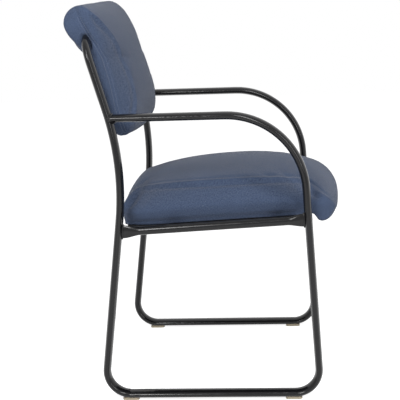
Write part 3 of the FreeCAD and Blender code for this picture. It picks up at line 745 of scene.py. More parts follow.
def subdivided(mesh: bpy.types.Mesh, name: str) -> bpy.types.Mesh:
    """A copy of a mesh, divided once and smoothed.

    Args:
        mesh: The mesh.
        name: Name to give it.

    Returns:
        The new mesh.
    """
    work = add_object(mesh, "subdivision_work")
    finer = work.modifiers.new("finer", "SUBSURF")
    finer.levels = finer.render_levels = 1
    result = baked(work)
    result.name = name
    bpy.data.objects.remove(work)
    return result


@dataclass(frozen=True)
class TiltedFrame:
    """Local frame turned about X, in which a cushion is drawn level or upright."""

    origin: Place
    tilt: float

    def matrix(self) -> Matrix:
        """Turns and moves local points to the chair's frame."""
        return Matrix.Translation(self.origin) @ Matrix.Rotation(self.tilt, 4, "X")


SEAT_FRAME = TiltedFrame((0.0, -0.05052, 0.3859), math.radians(-2.75))
BACK_FRAME = TiltedFrame((0.0, 0.19083, 0.600), math.radians(-15.7))


def running_lengths(points: np.ndarray) -> np.ndarray:
    """Length along a line up to each of its points."""
    return np.concatenate([[0], np.cumsum(np.linalg.norm(np.diff(points, axis=0), axis=1))])


@dataclass(frozen=True)
class Outline:
    """Closed side outline of a cushion as (y, z), drawn through listed corner points.

    Its four sides are short, long, short and long in turn. Each holds its first
    point, and the next side's first point ends it.
    """

    sides: tuple[Sequence[tuple[float, float]], ...]
    samples_per_span: int = 24

    def _curve(self) -> tuple[np.ndarray, list[int]]:
        """Fine closed curve, and where each side starts on it.

        Returns:
            The curve's points and the number of each side's first one.
        """
        points = np.array([point for side in self.sides for point in side])
        before, after = np.roll(points, 1, 0), np.roll(points, -1, 0)
        back_length = np.linalg.norm(points - before, axis=1)[:, None]
        next_length = np.linalg.norm(after - points, axis=1)[:, None]
        slopes = (
            (points - before) / back_length * next_length
            + (after - points) / next_length * back_length
        ) / (back_length + next_length)
        steps = np.linspace(0, 1, self.samples_per_span, endpoint=False)[:, None]
        spans = []
        for i in range(len(points)):
            j = (i + 1) % len(points)
            length = next_length[i]
            spans.append(
                (2 * steps**3 - 3 * steps**2 + 1) * points[i]
                + (steps**3 - 2 * steps**2 + steps) * length * slopes[i]
                + (3 * steps**2 - 2 * steps**3) * points[j]
                + (steps**3 - steps**2) * length * slopes[j]
            )
        starts = np.cumsum([0] + [len(side) for side in self.sides])
        return np.concatenate(spans), [int(s) * self.samples_per_span for s in starts]

    def loop(self, long_count: int, short_count: int) -> np.ndarray:
        """Even points along the outline.

        Args:
            long_count: Spaces along each long side.
            short_count: Spaces along each short side.

        Returns:
            Points as (y, z), from the first side's start.
        """
        curve, starts = self._curve()
        closed = np.concatenate([curve, curve[:1]])
        found = []
        for side, count in enumerate((short_count, long_count, short_count, long_count)):
            run = closed[starts[side] : starts[side + 1] + 1]
            lengths = running_lengths(run)
            wanted = np.linspace(0, lengths[-1], count, endpoint=False)
            found.append(np.stack([np.interp(wanted, lengths, run[:, k]) for k in (0, 1)], 1))
        return np.concatenate(found)


SEAT_OUTLINE = Outline((
    ((0.2320, 0.0015), (0.2395, 0.0160), (0.2405, 0.0380)),
    (
        (0.2365, 0.0585), (0.2200, 0.0755), (0.1800, 0.0862), (0.1300, 0.0938),
        (0.0600, 0.0985), (0.0000, 0.0992), (-0.0680, 0.0972), (-0.1300, 0.0900),
        (-0.1640, 0.0810), (-0.1950, 0.0655),
    ),
    ((-0.2180, 0.0480), (-0.2325, 0.0320), (-0.2400, 0.0150), (-0.2340, -0.0020)),
    (
        (-0.2205, -0.0165), (-0.2080, -0.0220), (-0.1900, -0.0195), (-0.1780, -0.0020),
        (-0.1600, 0.0000), (-0.0600, 0.0000), (0.1000, 0.0000), (0.2100, 0.0000),
    ),
))
BACK_OUTLINE = Outline((
    ((-0.0025, -0.0200), (-0.0065, -0.0350), (-0.0170, -0.0420), (-0.0275, -0.0370)),
    (
        (-0.0375, -0.0200), (-0.0470, 0.0000), (-0.0560, 0.0240), (-0.0620, 0.0600),
        (-0.0630, 0.1000), (-0.0610, 0.1400), (-0.0560, 0.1780), (-0.0470, 0.2080),
    ),
    ((-0.0350, 0.2340), (-0.0205, 0.2530), (-0.0010, 0.2640), (0.0190, 0.2610)),
    (
        (0.0325, 0.2490), (0.0395, 0.2315), (0.0375, 0.2130), (0.0280, 0.1900),
        (0.0140, 0.1680), (0.0025, 0.1480), (-0.0005, 0.1220), (-0.0005, 0.0600),
    ),
))


def inward_normals(loop: np.ndarray) -> np.ndarray:
    """Unit normals of a closed outline that point into it.

    Args:
        loop: Points of the outline as (y, z).

    Returns:
        One unit vector for each point.
    """
    along = np.roll(loop, -1, 0) - np.roll(loop, 1, 0)
    along /= np.linalg.norm(along, axis=1)[:, None]
    turned = np.stack([along[:, 1], -along[:, 0]], 1)
    area = np.sum(loop[:, 0] * np.roll(loop[:, 1], -1) - loop[:, 1] * np.roll(loop[:, 0], -1))
    return turned if area < 0 else -turned


def rounded_ends(place: np.ndarray, reach: float, power: float) -> np.ndarray:
    """Share of the full width at each place, down to none at the reach."""
    share = np.clip(np.abs(place) / reach, 0, NEARLY_ONE)
    return (1 - share**power) ** (1 / power)


def line_distance(points: np.ndarray, line: np.ndarray) -> np.ndarray:
    """Distance of each point from a closed line of short runs.

    Args:
        points: Points to measure.
        line: Points of the line.

    Returns:
        One distance for each point.
    """
    best = np.full(len(points), np.inf)
    for a, b in zip(line, np.roll(line, -1, 0)):
        run = b - a
        share = np.clip((points - a) @ run / max(run @ run, 1e-12), 0, 1)
        gap = np.linalg.norm(points - (a + share[:, None] * run), axis=1)
        np.minimum(best, gap, out=best)
    return best


@dataclass(frozen=True)
class ClothFilling:
    """Simulated stretch of a cover over its filling."""

    most_move: float
    pressure: float = 14.0
    frames: int = 20
    quality: int = 5

    def run(self, mesh: bpy.types.Mesh, held: np.ndarray) -> None:
        """Inflates a closed mesh and keeps every point near its start.

        Args:
            mesh: Closed mesh, which is changed.
            held: True for each vertex that doesn't move.
        """
        start = positions(mesh)
        work = add_object(mesh.copy(), "cloth_work")
        group = work.vertex_groups.new(name="held")
        group.add([int(i) for i in np.flatnonzero(held)], 1.0, "REPLACE")
        cloth = work.modifiers.new("cloth", "CLOTH")
        cloth.settings.quality = self.quality
        cloth.settings.use_pressure = True
        cloth.settings.uniform_pressure_force = self.pressure
        cloth.settings.effector_weights.gravity = 0.0
        cloth.settings.vertex_group_mass = group.name
        cloth.point_cache.frame_start = 1
        cloth.point_cache.frame_end = self.frames
        for frame in range(1, self.frames + 1):
            bpy.context.scene.frame_set(frame)
        result = baked(work)
        moved = positions(result) - start
        length = np.linalg.norm(moved, axis=1)[:, None]
        capped = moved * np.minimum(1.0, self.most_move / np.maximum(length, 1e-9))
        set_positions(mesh, start + capped)
        bpy.data.objects.remove(work)
        bpy.data.meshes.remove(result)
        bpy.context.scene.frame_set(1)


Faces = tuple[list[tuple], list[tuple]]


@dataclass
class BoxedCushion(ABC):
    """Cushion whose cover is a panel wound round its side outline and two side panels.

    The wound panel is counted in stations across the chair, and round each station
    from the start of the outline: short, long, short and long side.
    """

    name: str
    frame: TiltedFrame
    outline: Outline
    stands_for: tuple[str, ...]
    fill: float
    filling: ClothFilling
    crease_x: float
    long_count: int
    short_count: int
    edge_inset: float
    edge_width: float
    side_bulge: float
    shrink: float
    side_reach: float
    half_stations: int = 36
    station_crowding: float = 0.10
    edge_roundness: float = 0.98
    long_bulge_power: float = 6.0
    short_bulge_power: float = 2.6
    side_facing: Span = Span(0.18, 0.50)

    @abstractmethod
    def shape(
        self, y: np.ndarray, z: np.ndarray, share: float
    ) -> tuple[np.ndarray, np.ndarray]:
        """The outline's points at a share of the way from the middle to the crease."""

    @abstractmethod
    def plan_width(self, y: np.ndarray, z: np.ndarray) -> np.ndarray:
        """Share of the full width at each place."""

    @abstractmethod
    def rounded(self, y: np.ndarray) -> np.ndarray:
        """Share of the edge's rounding at each place."""

    @abstractmethod
    def held(self, points: np.ndarray) -> np.ndarray:
        """Whether the filling leaves each point where it is."""

    @abstractmethod
    def sewn(
        self, local: np.ndarray, gap: np.ndarray, panel: np.ndarray, side: Side
    ) -> tuple[np.ndarray, np.ndarray]:
        """Seams and folds of one side.

        Args:
            local: Points near that side, in the cushion's own frame.
            gap: Their distance from the crease.
            panel: 1 where they lie on the side panel, and 0 elsewhere.
            side: Side of the chair.

        Returns:
            How far each point moves along its normal, and along X.
        """

    @property
    def loop_count(self) -> int:
        """Number of points round the outline."""
        return 2 * (self.long_count + self.short_count)

    def stations(self) -> np.ndarray:
        """Places across the chair, closer together towards the creases.

        Returns:
            Values of X from the right crease to the left one.
        """
        share = np.linspace(0, 1, self.half_stations + 1)
        half = self.crease_x * (share + self.station_crowding * np.sin(math.pi * share))
        return np.concatenate([-half[:0:-1], half])

    def _station_loop(self, loop: np.ndarray, x: float) -> np.ndarray:
        """The outline at one place across the chair, with its edge rounded.

        Args:
            loop: Points of the outline as (y, z).
            x: Place across the chair.

        Returns:
            Points as (y, z).
        """
        near_edge = max(0.0, abs(x) - (self.crease_x - self.edge_width)) / self.edge_width
        left = math.sqrt(max(0.0, 1 - self.edge_roundness * near_edge**2))
        y, z = self.shape(loop[:, 0], loop[:, 1], abs(x) / self.crease_x)
        moved = np.stack([y, z], 1)
        inset = self.edge_inset * (1 - left) * self.rounded(y)
        return moved + inset[:, None] * inward_normals(moved)

    def _side_grid(self, loop: np.ndarray) -> np.ndarray:
        """Points of a side panel from its outline.

        Args:
            loop: Outline at the crease.

        Returns:
            Array of (long + 1, short + 1, 2) points, which blends the four sides.
        """
        m, k = self.long_count, self.short_count
        first = loop[: k + 1]
        top = loop[k : k + m + 1]
        last = loop[k + m : 2 * k + m + 1][::-1]
        bottom = np.concatenate([loop[2 * k + m :], loop[:1]])[::-1]
        p = np.linspace(0, 1, m + 1)[:, None, None]
        q = np.linspace(0, 1, k + 1)[None, :, None]
        along = (1 - q) * bottom[:, None, :] + q * top[:, None, :]
        upward = (1 - p) * first[None, :, :] + p * last[None, :, :]
        corners = (
            (1 - p) * (1 - q) * bottom[0] + p * (1 - q) * bottom[-1]
            + (1 - p) * q * top[0] + p * q * top[-1]
        )
        return along + upward - corners

    def _form(self) -> bpy.types.Mesh:
        """Mesh of the unfilled form, with a UV map in metres of cloth.

        Returns:
            The new mesh, in the cushion's own frame.
        """
        loop = self.outline.loop(self.long_count, self.short_count)
        xs = self.stations()
        band = np.zeros((len(xs), self.loop_count, 3))
        for j, x in enumerate(xs):
            band[j, :, 1:] = self._station_loop(loop, x)
            band[j, :, 0] = x * self.plan_width(band[j, :, 1], band[j, :, 2])
        vertices = [band.reshape(-1, 3)]
        faces, cloth = self._band_faces(band)
        start = len(vertices[0])
        for side in Side:
            ring = self._ring_start(side)
            grid = self._side_grid(band[ring // self.loop_count, :, 1:])
            vertices.append(self._panel_vertices(grid, side))
            more, more_cloth = self._panel_faces(grid, ring, start)
            start += len(vertices[-1])
            faces += more
            cloth += more_cloth
        mesh = bpy.data.meshes.new(self.name + "_form")
        mesh.from_pydata([tuple(point) for point in np.concatenate(vertices)], [], faces)
        face_outwards(mesh)
        layer = mesh.uv_layers.new(name="cloth")
        for polygon, face, places in zip(mesh.polygons, faces, cloth):
            where = dict(zip(face, places))
            for index in polygon.loop_indices:
                layer.data[index].uv = where[mesh.loops[index].vertex_index]
        return mesh

    def _ring_start(self, side: Side) -> int:
        """Number of the first vertex of the crease on one side."""
        return 0 if side is Side.RIGHT else 2 * self.half_stations * self.loop_count

    def _band_faces(self, band: np.ndarray) -> Faces:
        """Faces of the wound panel, and where each corner lies on its cloth.

        Args:
            band: Points of the wound panel by station and place round the outline.

        Returns:
            Vertex numbers and cloth places of each face's corners.
        """
        count = self.loop_count
        middle = band[len(band) // 2]
        lengths = running_lengths(np.concatenate([middle, middle[:1]]))
        faces, cloth = [], []
        for j in range(len(band) - 1):
            left, right = band[j, :, 0], band[j + 1, :, 0]
            for i in range(count):
                n = (i + 1) % count
                a, b = j * count + i, j * count + n
                faces.append((a, b, b + count, a + count))
                v0, v1 = lengths[i], lengths[i + 1]
                cloth.append(((left[i], v0), (left[n], v1), (right[n], v1), (right[i], v0)))
        return faces, cloth

    def _panel_vertices(self, grid: np.ndarray, side: Side) -> np.ndarray:
        """Bulged vertices of a side panel within its crease.

        Args:
            grid: The side panel's points as (y, z).
            side: Side of the chair.

        Returns:
            Points as (x, y, z), row by row.
        """
        inner = grid[1:-1, 1:-1]
        p = np.linspace(-1, 1, self.long_count + 1)[1:-1, None]
        q = np.linspace(-1, 1, self.short_count + 1)[None, 1:-1]
        rise = (1 - np.abs(p) ** self.long_bulge_power) * (1 - np.abs(q) ** self.short_bulge_power)
        x = side.value * (self.crease_x + self.side_bulge * rise)
        x *= self.plan_width(inner[:, :, 0], inner[:, :, 1])
        return np.concatenate([x[:, :, None], inner], 2).reshape(-1, 3)

    def _panel_faces(self, grid: np.ndarray, ring: int, start: int) -> Faces:
        """Faces of a side panel, and where each corner lies on its cloth.

        Args:
            grid: The panel's points as (y, z).
            ring: Number of the crease's first vertex.
            start: Number of the first vertex within the crease.

        Returns:
            Vertex numbers and cloth places of each face's corners.
        """
        m, k = self.long_count, self.short_count
        numbers = np.zeros((m + 1, k + 1), int)
        numbers[0, :] = ring + np.arange(k + 1)
        numbers[:, k] = ring + k + np.arange(m + 1)
        numbers[m, ::-1] = ring + k + m + np.arange(k + 1)
        numbers[::-1, 0] = ring + (2 * k + m + np.arange(m + 1)) % self.loop_count
        numbers[1:m, 1:k] = start + np.arange((m - 1) * (k - 1)).reshape(m - 1, k - 1)
        faces, cloth = [], []
        for i in range(m):
            for j in range(k):
                corners = ((i, j), (i + 1, j), (i + 1, j + 1), (i, j + 1))
                faces.append(tuple(int(numbers[c]) for c in corners))
                cloth.append(tuple(tuple(grid[c]) for c in corners))
        return faces, cloth

    def mesh(self) -> bpy.types.Mesh:
        """Makes the filled and sewn cushion's mesh in place.

        Returns:
            The new mesh, in the chair's frame.
        """
        mesh = self._form()
        points = positions(mesh)
        points -= self.shrink * normals(mesh)
        set_positions(mesh, points)
        self.filling.run(mesh, self.held(points))
        filled = positions(mesh)
        fine = subdivided(mesh, self.name)
        points, facing = positions(fine), normals(fine)
        moved = points.copy()
        for side in Side:
            ring = self._ring_start(side)
            near = points[:, 0] * side.value > self.side_reach
            local = points[near]
            gap = line_distance(local, filled[ring : ring + self.loop_count])
            panel = self.side_facing.at(np.abs(facing[near, 0]))
            raised, sideways = self.sewn(local, gap, panel, side)
            moved[near] += raised[:, None] * facing[near]
            moved[near, 0] += sideways
        set_positions(fine, moved)
        fine.transform(self.frame.matrix())
        return fine

    def build(self, shelf: MaterialShelf) -> bpy.types.Object:
        """Makes the cushion in place.

        Args:
            shelf: Finishes of the chair.

        Returns:
            The cushion's object.
        """
        mesh = self.mesh()
        shade_smooth(mesh)
        mesh.materials.append(shelf.fabric)
        cushion = add_object(mesh, self.name)
        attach(cushion, BODY)
        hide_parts(*self.stands_for)
        return cushion


@dataclass
class SeatCushion(BoxedCushion):
    """Upholstered seat with a waterfall front and boxed sides."""

    name: str = "seat_cushion"
    frame: TiltedFrame = SEAT_FRAME
    outline: Outline = SEAT_OUTLINE
    stands_for: tuple[str, ...] = ("seat_cover", "seat_foam")
    fill: float = 0.8
    filling: ClothFilling = ClothFilling(5.0 * MILLIMETRE)
    crease_x: float = 0.2270
    long_count: int = 80
    short_count: int = 15
    edge_inset: float = 0.006
    edge_width: float = 0.030
    side_bulge: float = 0.006
    shrink: float = 0.0004
    side_reach: float = 0.13
    crown: float = 0.099
    crown_drop: float = 0.0160
    front_bow: float = 0.0080
    half_depth: float = 0.2405
    plan_reach: float = 0.2535
    plan_power: float = 6.5
    crease_share: float = 0.815
    crease_reach: float = 0.2500
    crease_power: float = 2.15
    crease_front: Span = Span(0.150, 0.222)
    crease_rear: Span = Span(0.195, 0.236)
    least_crease_height: float = 0.030
    dome_start: float = 0.42
    dome_power: float = 1.8
    underside_tuck: float = 0.035
    tuck_height: Span = Span(0.0, 0.016, 1.0, 0.0)
    tuck_place: Span = Span(-0.190, -0.150)
    front_rounding: Span = Span(0.150, 0.215, 0.35, 1.0)
    board_top: float = 0.004
    board_front: float = -0.170
    ridge: Fold = Fold(0.0021, 0.0, 0.0034)
    ridge_height: Span = Span(0.045, 0.075)
    ridge_place: Span = Span(-0.215, -0.150)
    band: Fold = Fold(-0.0058, 0.013, 0.0085)
    band_height: Span = Span(0.02, 0.05)
    swell: Fold = Fold(0.0028, 0.040, 0.020)
    corner: Fold = Fold(-0.0036, -0.160, 0.013)
    corner_lean: float = 0.35
    corner_height: Span = Span(0.0, 0.02)

    def shape(
        self, y: np.ndarray, z: np.ndarray, share: float
    ) -> tuple[np.ndarray, np.ndarray]:
        """Lowers the crown and sets the front edge back towards the sides.

        Args:
            y: Place along the cushion's own Y.
            z: Place along the cushion's own Z.
            share: Share of the way from the middle to the crease.

        Returns:
            The moved Y and Z.
        """
        frontness = np.maximum(0.0, -y) / self.half_depth
        height = np.sqrt(np.maximum(0.0, z) / self.crown)
        lowered = z - self.crown_drop * share**2 * height
        return y + self.front_bow * share**2 * frontness**3, lowered

    @cached_property
    def crease_side(self) -> np.ndarray:
        """Crease above the underside as (y, z), from front to rear.

        Returns:
            Points of the crease, sorted by Y.
        """
        m, k = self.long_count, self.short_count
        top = self.outline.loop(m, k)[k : k + m + 1]
        crease = np.stack(self.shape(top[:, 0], top[:, 1], 1.0), 1)
        return crease[np.argsort(crease[:, 0])]

    def plan_width(self, y: np.ndarray, z: np.ndarray) -> np.ndarray:
        """Share of the full width: rounded in plan, domed up to the crease.

        Args:
            y: Place along the cushion's own Y.
            z: Place along the cushion's own Z.

        Returns:
            Share of the full width at each place.
        """
        full = rounded_ends(y, self.plan_reach, self.plan_power)
        drawn = self.crease_share * rounded_ends(y, self.crease_reach, self.crease_power)
        ends = np.maximum(self.crease_front.at(-y), self.crease_rear.at(y))
        at_crease = drawn + (full - drawn) * ends
        height = np.interp(y, self.crease_side[:, 0], self.crease_side[:, 1])
        top = np.maximum(height, self.least_crease_height)
        start = self.dome_start * top
        rise = np.clip((z - start) / (top - start), 0, 1) ** self.dome_power
        tuck = self.underside_tuck * self.tuck_height.at(z) * self.tuck_place.at(y)
        return (full + (at_crease - full) * rise) * (1 - tuck)

    def rounded(self, y: np.ndarray) -> np.ndarray:
        """Share of the edge's rounding, all of it at the front."""
        return self.front_rounding.at(-y)

    def held(self, points: np.ndarray) -> np.ndarray:
        """True on the board, behind the lip."""
        return (points[:, 2] < self.board_top) & (points[:, 1] > self.board_front)

    def sewn(
        self, local: np.ndarray, gap: np.ndarray, panel: np.ndarray, side: Side
    ) -> tuple[np.ndarray, np.ndarray]:
        """Seam, the drawn-in band under it and the fold at the front corner.

        Args:
            local: Points near that side, in the cushion's own frame.
            gap: Their distance from the crease.
            panel: 1 where they lie on the side panel, and 0 elsewhere.
            side: Side of the chair; not used here.

        Returns:
            How far each point moves along its normal, and along X.
        """
        y, z = local[:, 1], local[:, 2]
        ridge = self.ridge.at(gap) * self.ridge_height.at(z) * self.ridge_place.at(y)
        band = self.band.at(gap) * panel * self.band_height.at(z)
        swell = self.swell.at(z) * panel
        corner = self.corner.at(y + self.corner_lean * z) * panel * self.corner_height.at(z)
        return ridge + band + swell + corner, np.zeros(len(local))


@dataclass
class BackCushion(BoxedCushion):
    """Upholstered back whose top roll wraps round the ends of the uprights."""

    name: str = "back_cushion"
    frame: TiltedFrame = BACK_FRAME
    outline: Outline = BACK_OUTLINE
    stands_for: tuple[str, ...] = (
        "back_front_cover", "back_rear_cover", "back_foam", "back_rear_pad",
    )
    fill: float = 0.85
    filling: ClothFilling = ClothFilling(4.5 * MILLIMETRE)
    crease_x: float = 0.2230
    long_count: int = 52
    short_count: int = 13
    edge_inset: float = 0.005
    edge_width: float = 0.026
    side_bulge: float = 0.0045
    shrink: float = -0.0008
    side_reach: float = 0.15
    front_crown: float = 0.063
    side_drop: float = 0.0085
    bottom_rise: float = 0.009
    bottom_height: Span = Span(0.0, 0.040)
    top_drop: float = 0.003
    top_height: Span = Span(0.05, 0.26)
    rear_wrap: float = 0.0060
    wrap_height: Span = Span(0.130, 0.165, 1.0, 0.0)
    wrap_place: Span = Span(-0.012, -0.002)
    middle_height: float = 0.1135
    end_reach: float = 0.1625
    end_power: float = 8.0
    crease_depth: float = 0.052
    crease_share: float = 0.672
    side_depth: float = 0.016
    dome_power: float = 1.6
    front_rounding: Span = Span(0.010, 0.030, 0.0, 0.5)
    board_rear: float = -0.010
    roll_bottom: float = 0.14
    ridge: Fold = Fold(0.0019, 0.0, 0.0034)
    ridge_place: Span = Span(0.020, 0.034)
    ridge_height: Span = Span(-0.01, 0.03)
    band: Fold = Fold(-0.0042, 0.012, 0.0075)
    groove: Fold = Fold(-0.0030, 0.0, 0.0034)
    socket_height: float = 0.1815
    socket_half: tuple[float, float] = (0.0180, 0.0095)
    socket_edge: Span = Span(0.90, 1.20, 1.0, 0.0)
    socket_depth: float = 0.006
    seam_points: tuple[tuple[float, float], ...] = (
        (-0.040, -0.0160), (-0.015, -0.0155), (0.016, -0.0160), (0.039, -0.0170),
        (0.071, -0.0205), (0.102, -0.0220), (0.141, -0.0225), (0.172, -0.0170),
        (0.200, -0.0080), (0.226, -0.0020), (0.245, 0.0010), (0.268, 0.0030),
    )

    def shape(
        self, y: np.ndarray, z: np.ndarray, share: float
    ) -> tuple[np.ndarray, np.ndarray]:
        """Draws the front back towards the sides and rounds the bottom and the top.

        Args:
            y: Place along the cushion's own Y.
            z: Place along the cushion's own Z.
            share: Share of the way from the middle to the crease.

        Returns:
            The moved Y and Z.
        """
        drawn = y + self.side_drop * share**2 * np.maximum(0.0, -y) / self.front_crown
        wrap = self.rear_wrap * share**4 * self.wrap_height.at(z) * self.wrap_place.at(y)
        raised = z + self.bottom_rise * share**2 * self.bottom_height.at(-z)
        return drawn + wrap, raised - self.top_drop * share**4 * self.top_height.at(z)

    def plan_width(self, y: np.ndarray, z: np.ndarray) -> np.ndarray:
        """Share of the full width: domed sides, rounded ends.

        Args:
            y: Place along the cushion's own Y.
            z: Place along the cushion's own Z.

        Returns:
            Share of the full width at each place.
        """
        ends = rounded_ends(z - self.middle_height, self.end_reach, self.end_power)
        depth = np.maximum(0.0, -y - self.side_depth) / (self.crease_depth - self.side_depth)
        return ends * (1 - (1 - self.crease_share) * depth**self.dome_power)

    def rounded(self, y: np.ndarray) -> np.ndarray:
        """Share of the edge's rounding, none at the rear."""
        return self.front_rounding.at(-y)

    def held(self, points: np.ndarray) -> np.ndarray:
        """True on the board's rear, under the roll."""
        return (points[:, 1] > self.board_rear) & (points[:, 2] < self.roll_bottom)

    def seam_y(self, z: np.ndarray) -> np.ndarray:
        """Y of the seam between the front and the rear cover at each height."""
        line = np.array(self.seam_points)
        return np.interp(z, line[:, 0], line[:, 1])

    def sewn(
        self, local: np.ndarray, gap: np.ndarray, panel: np.ndarray, side: Side
    ) -> tuple[np.ndarray, np.ndarray]:
        """Crease, the band beside it, the stitched seam and the upright's pocket.

        Args:
            local: Points near that side, in the cushion's own frame.
            gap: Their distance from the crease.
            panel: 1 where they lie on the side panel, and 0 elsewhere.
            side: Side of the chair.

        Returns:
            How far each point moves along its normal, and along X.
        """
        y, z = local[:, 1], local[:, 2]
        front = self.ridge_place.at(-y) * self.ridge_height.at(z)
        raised = (self.ridge.at(gap) + self.band.at(gap) * panel) * front
        raised += self.groove.at(np.abs(y - self.seam_y(z))) * panel
        tall, deep = self.socket_half
        inside = np.sqrt(((z - self.socket_height) / tall) ** 2 + (y / deep) ** 2)
        return raised, -side.value * self.socket_depth * self.socket_edge.at(inside) * panel


@dataclass
class StitchRow:
    """Row of sewing stitches along a line, made by geometry nodes."""

    pitch: float = 4.2 * MILLIMETRE
    length: float = 3.0 * MILLIMETRE
    radius: float = 0.45 * MILLIMETRE
    rings: int = 6
    sides: int = 6
    end_swell: float = 0.12
    end_radius: float = 0.55
    arch: float = 1.5
    sink: float = 0.9
    slant: float = 0.09
    seed: int = 7

    def _stitch(self) -> bpy.types.Object:
        """One stitch along X: a thread that dips at both ends.

        Returns:
            The stitch as an object at the origin.
        """
        points = []
        for share in np.linspace(0, 1, self.rings):
            swell = math.sin(math.pi * (self.end_swell + (1 - 2 * self.end_swell) * share))
            x = (share - 0.5) * self.length
            z = self.radius * (self.arch * swell - self.sink)
            radius = self.radius * (self.end_radius + (1 - self.end_radius) * swell)
            for j in range(self.sides):
                angle = 2 * math.pi * j / self.sides
                points.append((x, radius * math.cos(angle), z + radius * math.sin(angle)))
        n = self.sides
        faces = [
            (i * n + j, i * n + (j + 1) % n, (i + 1) * n + (j + 1) % n, (i + 1) * n + j)
            for i in range(self.rings - 1) for j in range(n)
        ]
        faces += [tuple(range(n))[::-1], tuple(range(len(points) - n, len(points)))]
        mesh = bpy.data.meshes.new("one_stitch")
        mesh.from_pydata(points, [], faces)
        face_outwards(mesh)
        shade_smooth(mesh)
        return add_object(mesh, "one_stitch")

    def _tree(self, thread: bpy.types.Material) -> GeometryTree:
        """Node group that lays stitches along the edges of a line mesh.

        Args:
            thread: Material of the stitches.

        Returns:
            The tree of the node group.
        """
        inputs = {"Stitch": "Object", "Pitch": "Float", "Slant": "Float", "Seed": "Int"}
        tree = GeometryTree("stitch_row", inputs)
        source = tree.source
        outward = tree.add(
            "GeometryNodeInputNamedAttribute", {"Name": "outward"}, data_type="FLOAT_VECTOR"
        )
        curve = tree.add("GeometryNodeMeshToCurve", {"Mesh": source["Geometry"]})
        spaced = tree.add(
            "GeometryNodeResampleCurve",
            {"Curve": curve.outputs[0], "Length": source["Pitch"]}, mode="LENGTH",
        )
        stitch = tree.add("GeometryNodeObjectInfo", {"Object": source["Stitch"]})
        upright = tree.add(
            "FunctionNodeAlignRotationToVector", {"Vector": outward.outputs["Attribute"]}, axis="Z"
        )
        tangent = tree.add("GeometryNodeInputTangent").outputs[0]
        along = tree.add(
            "FunctionNodeAlignRotationToVector",
            {"Rotation": upright.outputs[0], "Vector": tangent}, axis="X", pivot_axis="Z",
        )
        sway = tree.add("FunctionNodeRandomValue", {"Seed": source["Seed"]}, data_type="FLOAT")
        least = tree.math("MULTIPLY", source["Slant"], -1.0)
        tree.feed(identified(sway.inputs, "Min_001"), least)
        tree.feed(identified(sway.inputs, "Max_001"), source["Slant"])
        spin = tree.add("FunctionNodeAxisAngleToRotation", {
            "Axis": (0.0, 0.0, 1.0), "Angle": identified(sway.outputs, "Value_001"),
        })
        turn = tree.add(
            "FunctionNodeRotateRotation",
            {0: along.outputs[0], 1: spin.outputs[0]}, rotation_space="LOCAL",
        )
        placed = tree.add("GeometryNodeInstanceOnPoints", {
            "Points": spaced.outputs[0], "Instance": stitch.outputs["Geometry"],
            "Rotation": turn.outputs[0],
        })
        real = tree.add("GeometryNodeRealizeInstances", {0: placed.outputs[0]})
        dressed = tree.add(
            "GeometryNodeSetMaterial", {"Geometry": real.outputs[0], "Material": thread}
        )
        tree.finish(dressed.outputs[0])
        return tree

    def build(
        self, name: str, lines: Sequence[tuple[np.ndarray, np.ndarray]], thread: bpy.types.Material
    ) -> bpy.types.Object:
        """Lays stitches along lines.

        Args:
            name: Name of the piece.
            lines: Points and outward directions of each line.
            thread: Thread's material.

        Returns:
            The stitches as one piece.
        """
        mesh = bpy.data.meshes.new(name + "_path")
        points = np.concatenate([line for line, _ in lines])
        outward = np.concatenate([out for _, out in lines])
        edges, start = [], 0
        for line, _ in lines:
            edges += [(start + i, start + i + 1) for i in range(len(line) - 1)]
            start += len(line)
        mesh.from_pydata([tuple(p) for p in points], edges, [])
        attribute = mesh.attributes.new("outward", "FLOAT_VECTOR", "POINT")
        attribute.data.foreach_set("vector", outward.astype(np.float32).ravel())
        path = add_object(mesh, name + "_path")
        stitch = self._stitch()
        values = {"Stitch": stitch, "Pitch": self.pitch, "Slant": self.slant, "Seed": self.seed}
        self._tree(thread).modify(path, "stitches", values)
        result = baked(path)
        result.name = name
        bpy.data.objects.remove(path)
        bpy.data.objects.remove(stitch)
        piece = add_object(result, name)
        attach(piece, BODY)
        return piece


@dataclass
class BackSeams:
    """Stitches along both edges of the side seams of the back."""

    back: BackCushion
    offsets: tuple[float, float] = (-0.0030, 0.0030)
    lowest: float = -0.020
    highest: float = 0.236
    count: int = 90
    outside_x: float = 0.30
    lift: float = 0.0001

    def _line(
        self, tree: BVHTree, side: Side, offset: float
    ) -> tuple[np.ndarray, np.ndarray]:
        """One row's line on a side of the cushion.

        Args:
            tree: Search tree of the cushion's faces.
            side: Side of the chair.
            offset: Distance of the row from the seam.

        Returns:
            The line's points and its outward directions.
        """
        place = BACK_FRAME.matrix()
        line, outward = [], []
        for z in np.linspace(self.lowest, self.highest, self.count):
            y = float(self.back.seam_y(np.array([z]))[0]) + offset
            start = place @ Vector((side.value * self.outside_x, y, float(z)))
            hit, normal, _, _ = tree.ray_cast(start, Vector((-side.value, 0, 0)))
            if hit is not None:
                line.append(np.array(hit + normal * self.lift))
                outward.append(np.array(normal))
        return np.array(line), np.array(outward)

    def build(self, cushion: bpy.types.Object, shelf: MaterialShelf) -> bpy.types.Object:
        """Lays the stitches on the finished cushion.

        Args:
            cushion: The back cushion.
            shelf: Finishes of the chair.

        Returns:
            The stitches as one piece.
        """
        mesh = cushion.data
        tree = BVHTree.FromPolygons(
            [v.co for v in mesh.vertices], [tuple(p.vertices) for p in mesh.polygons]
        )
        lines = [self._line(tree, side, offset) for side in Side for offset in self.offsets]
        return StitchRow().build("back_seam_stitches", lines, shelf.thread)


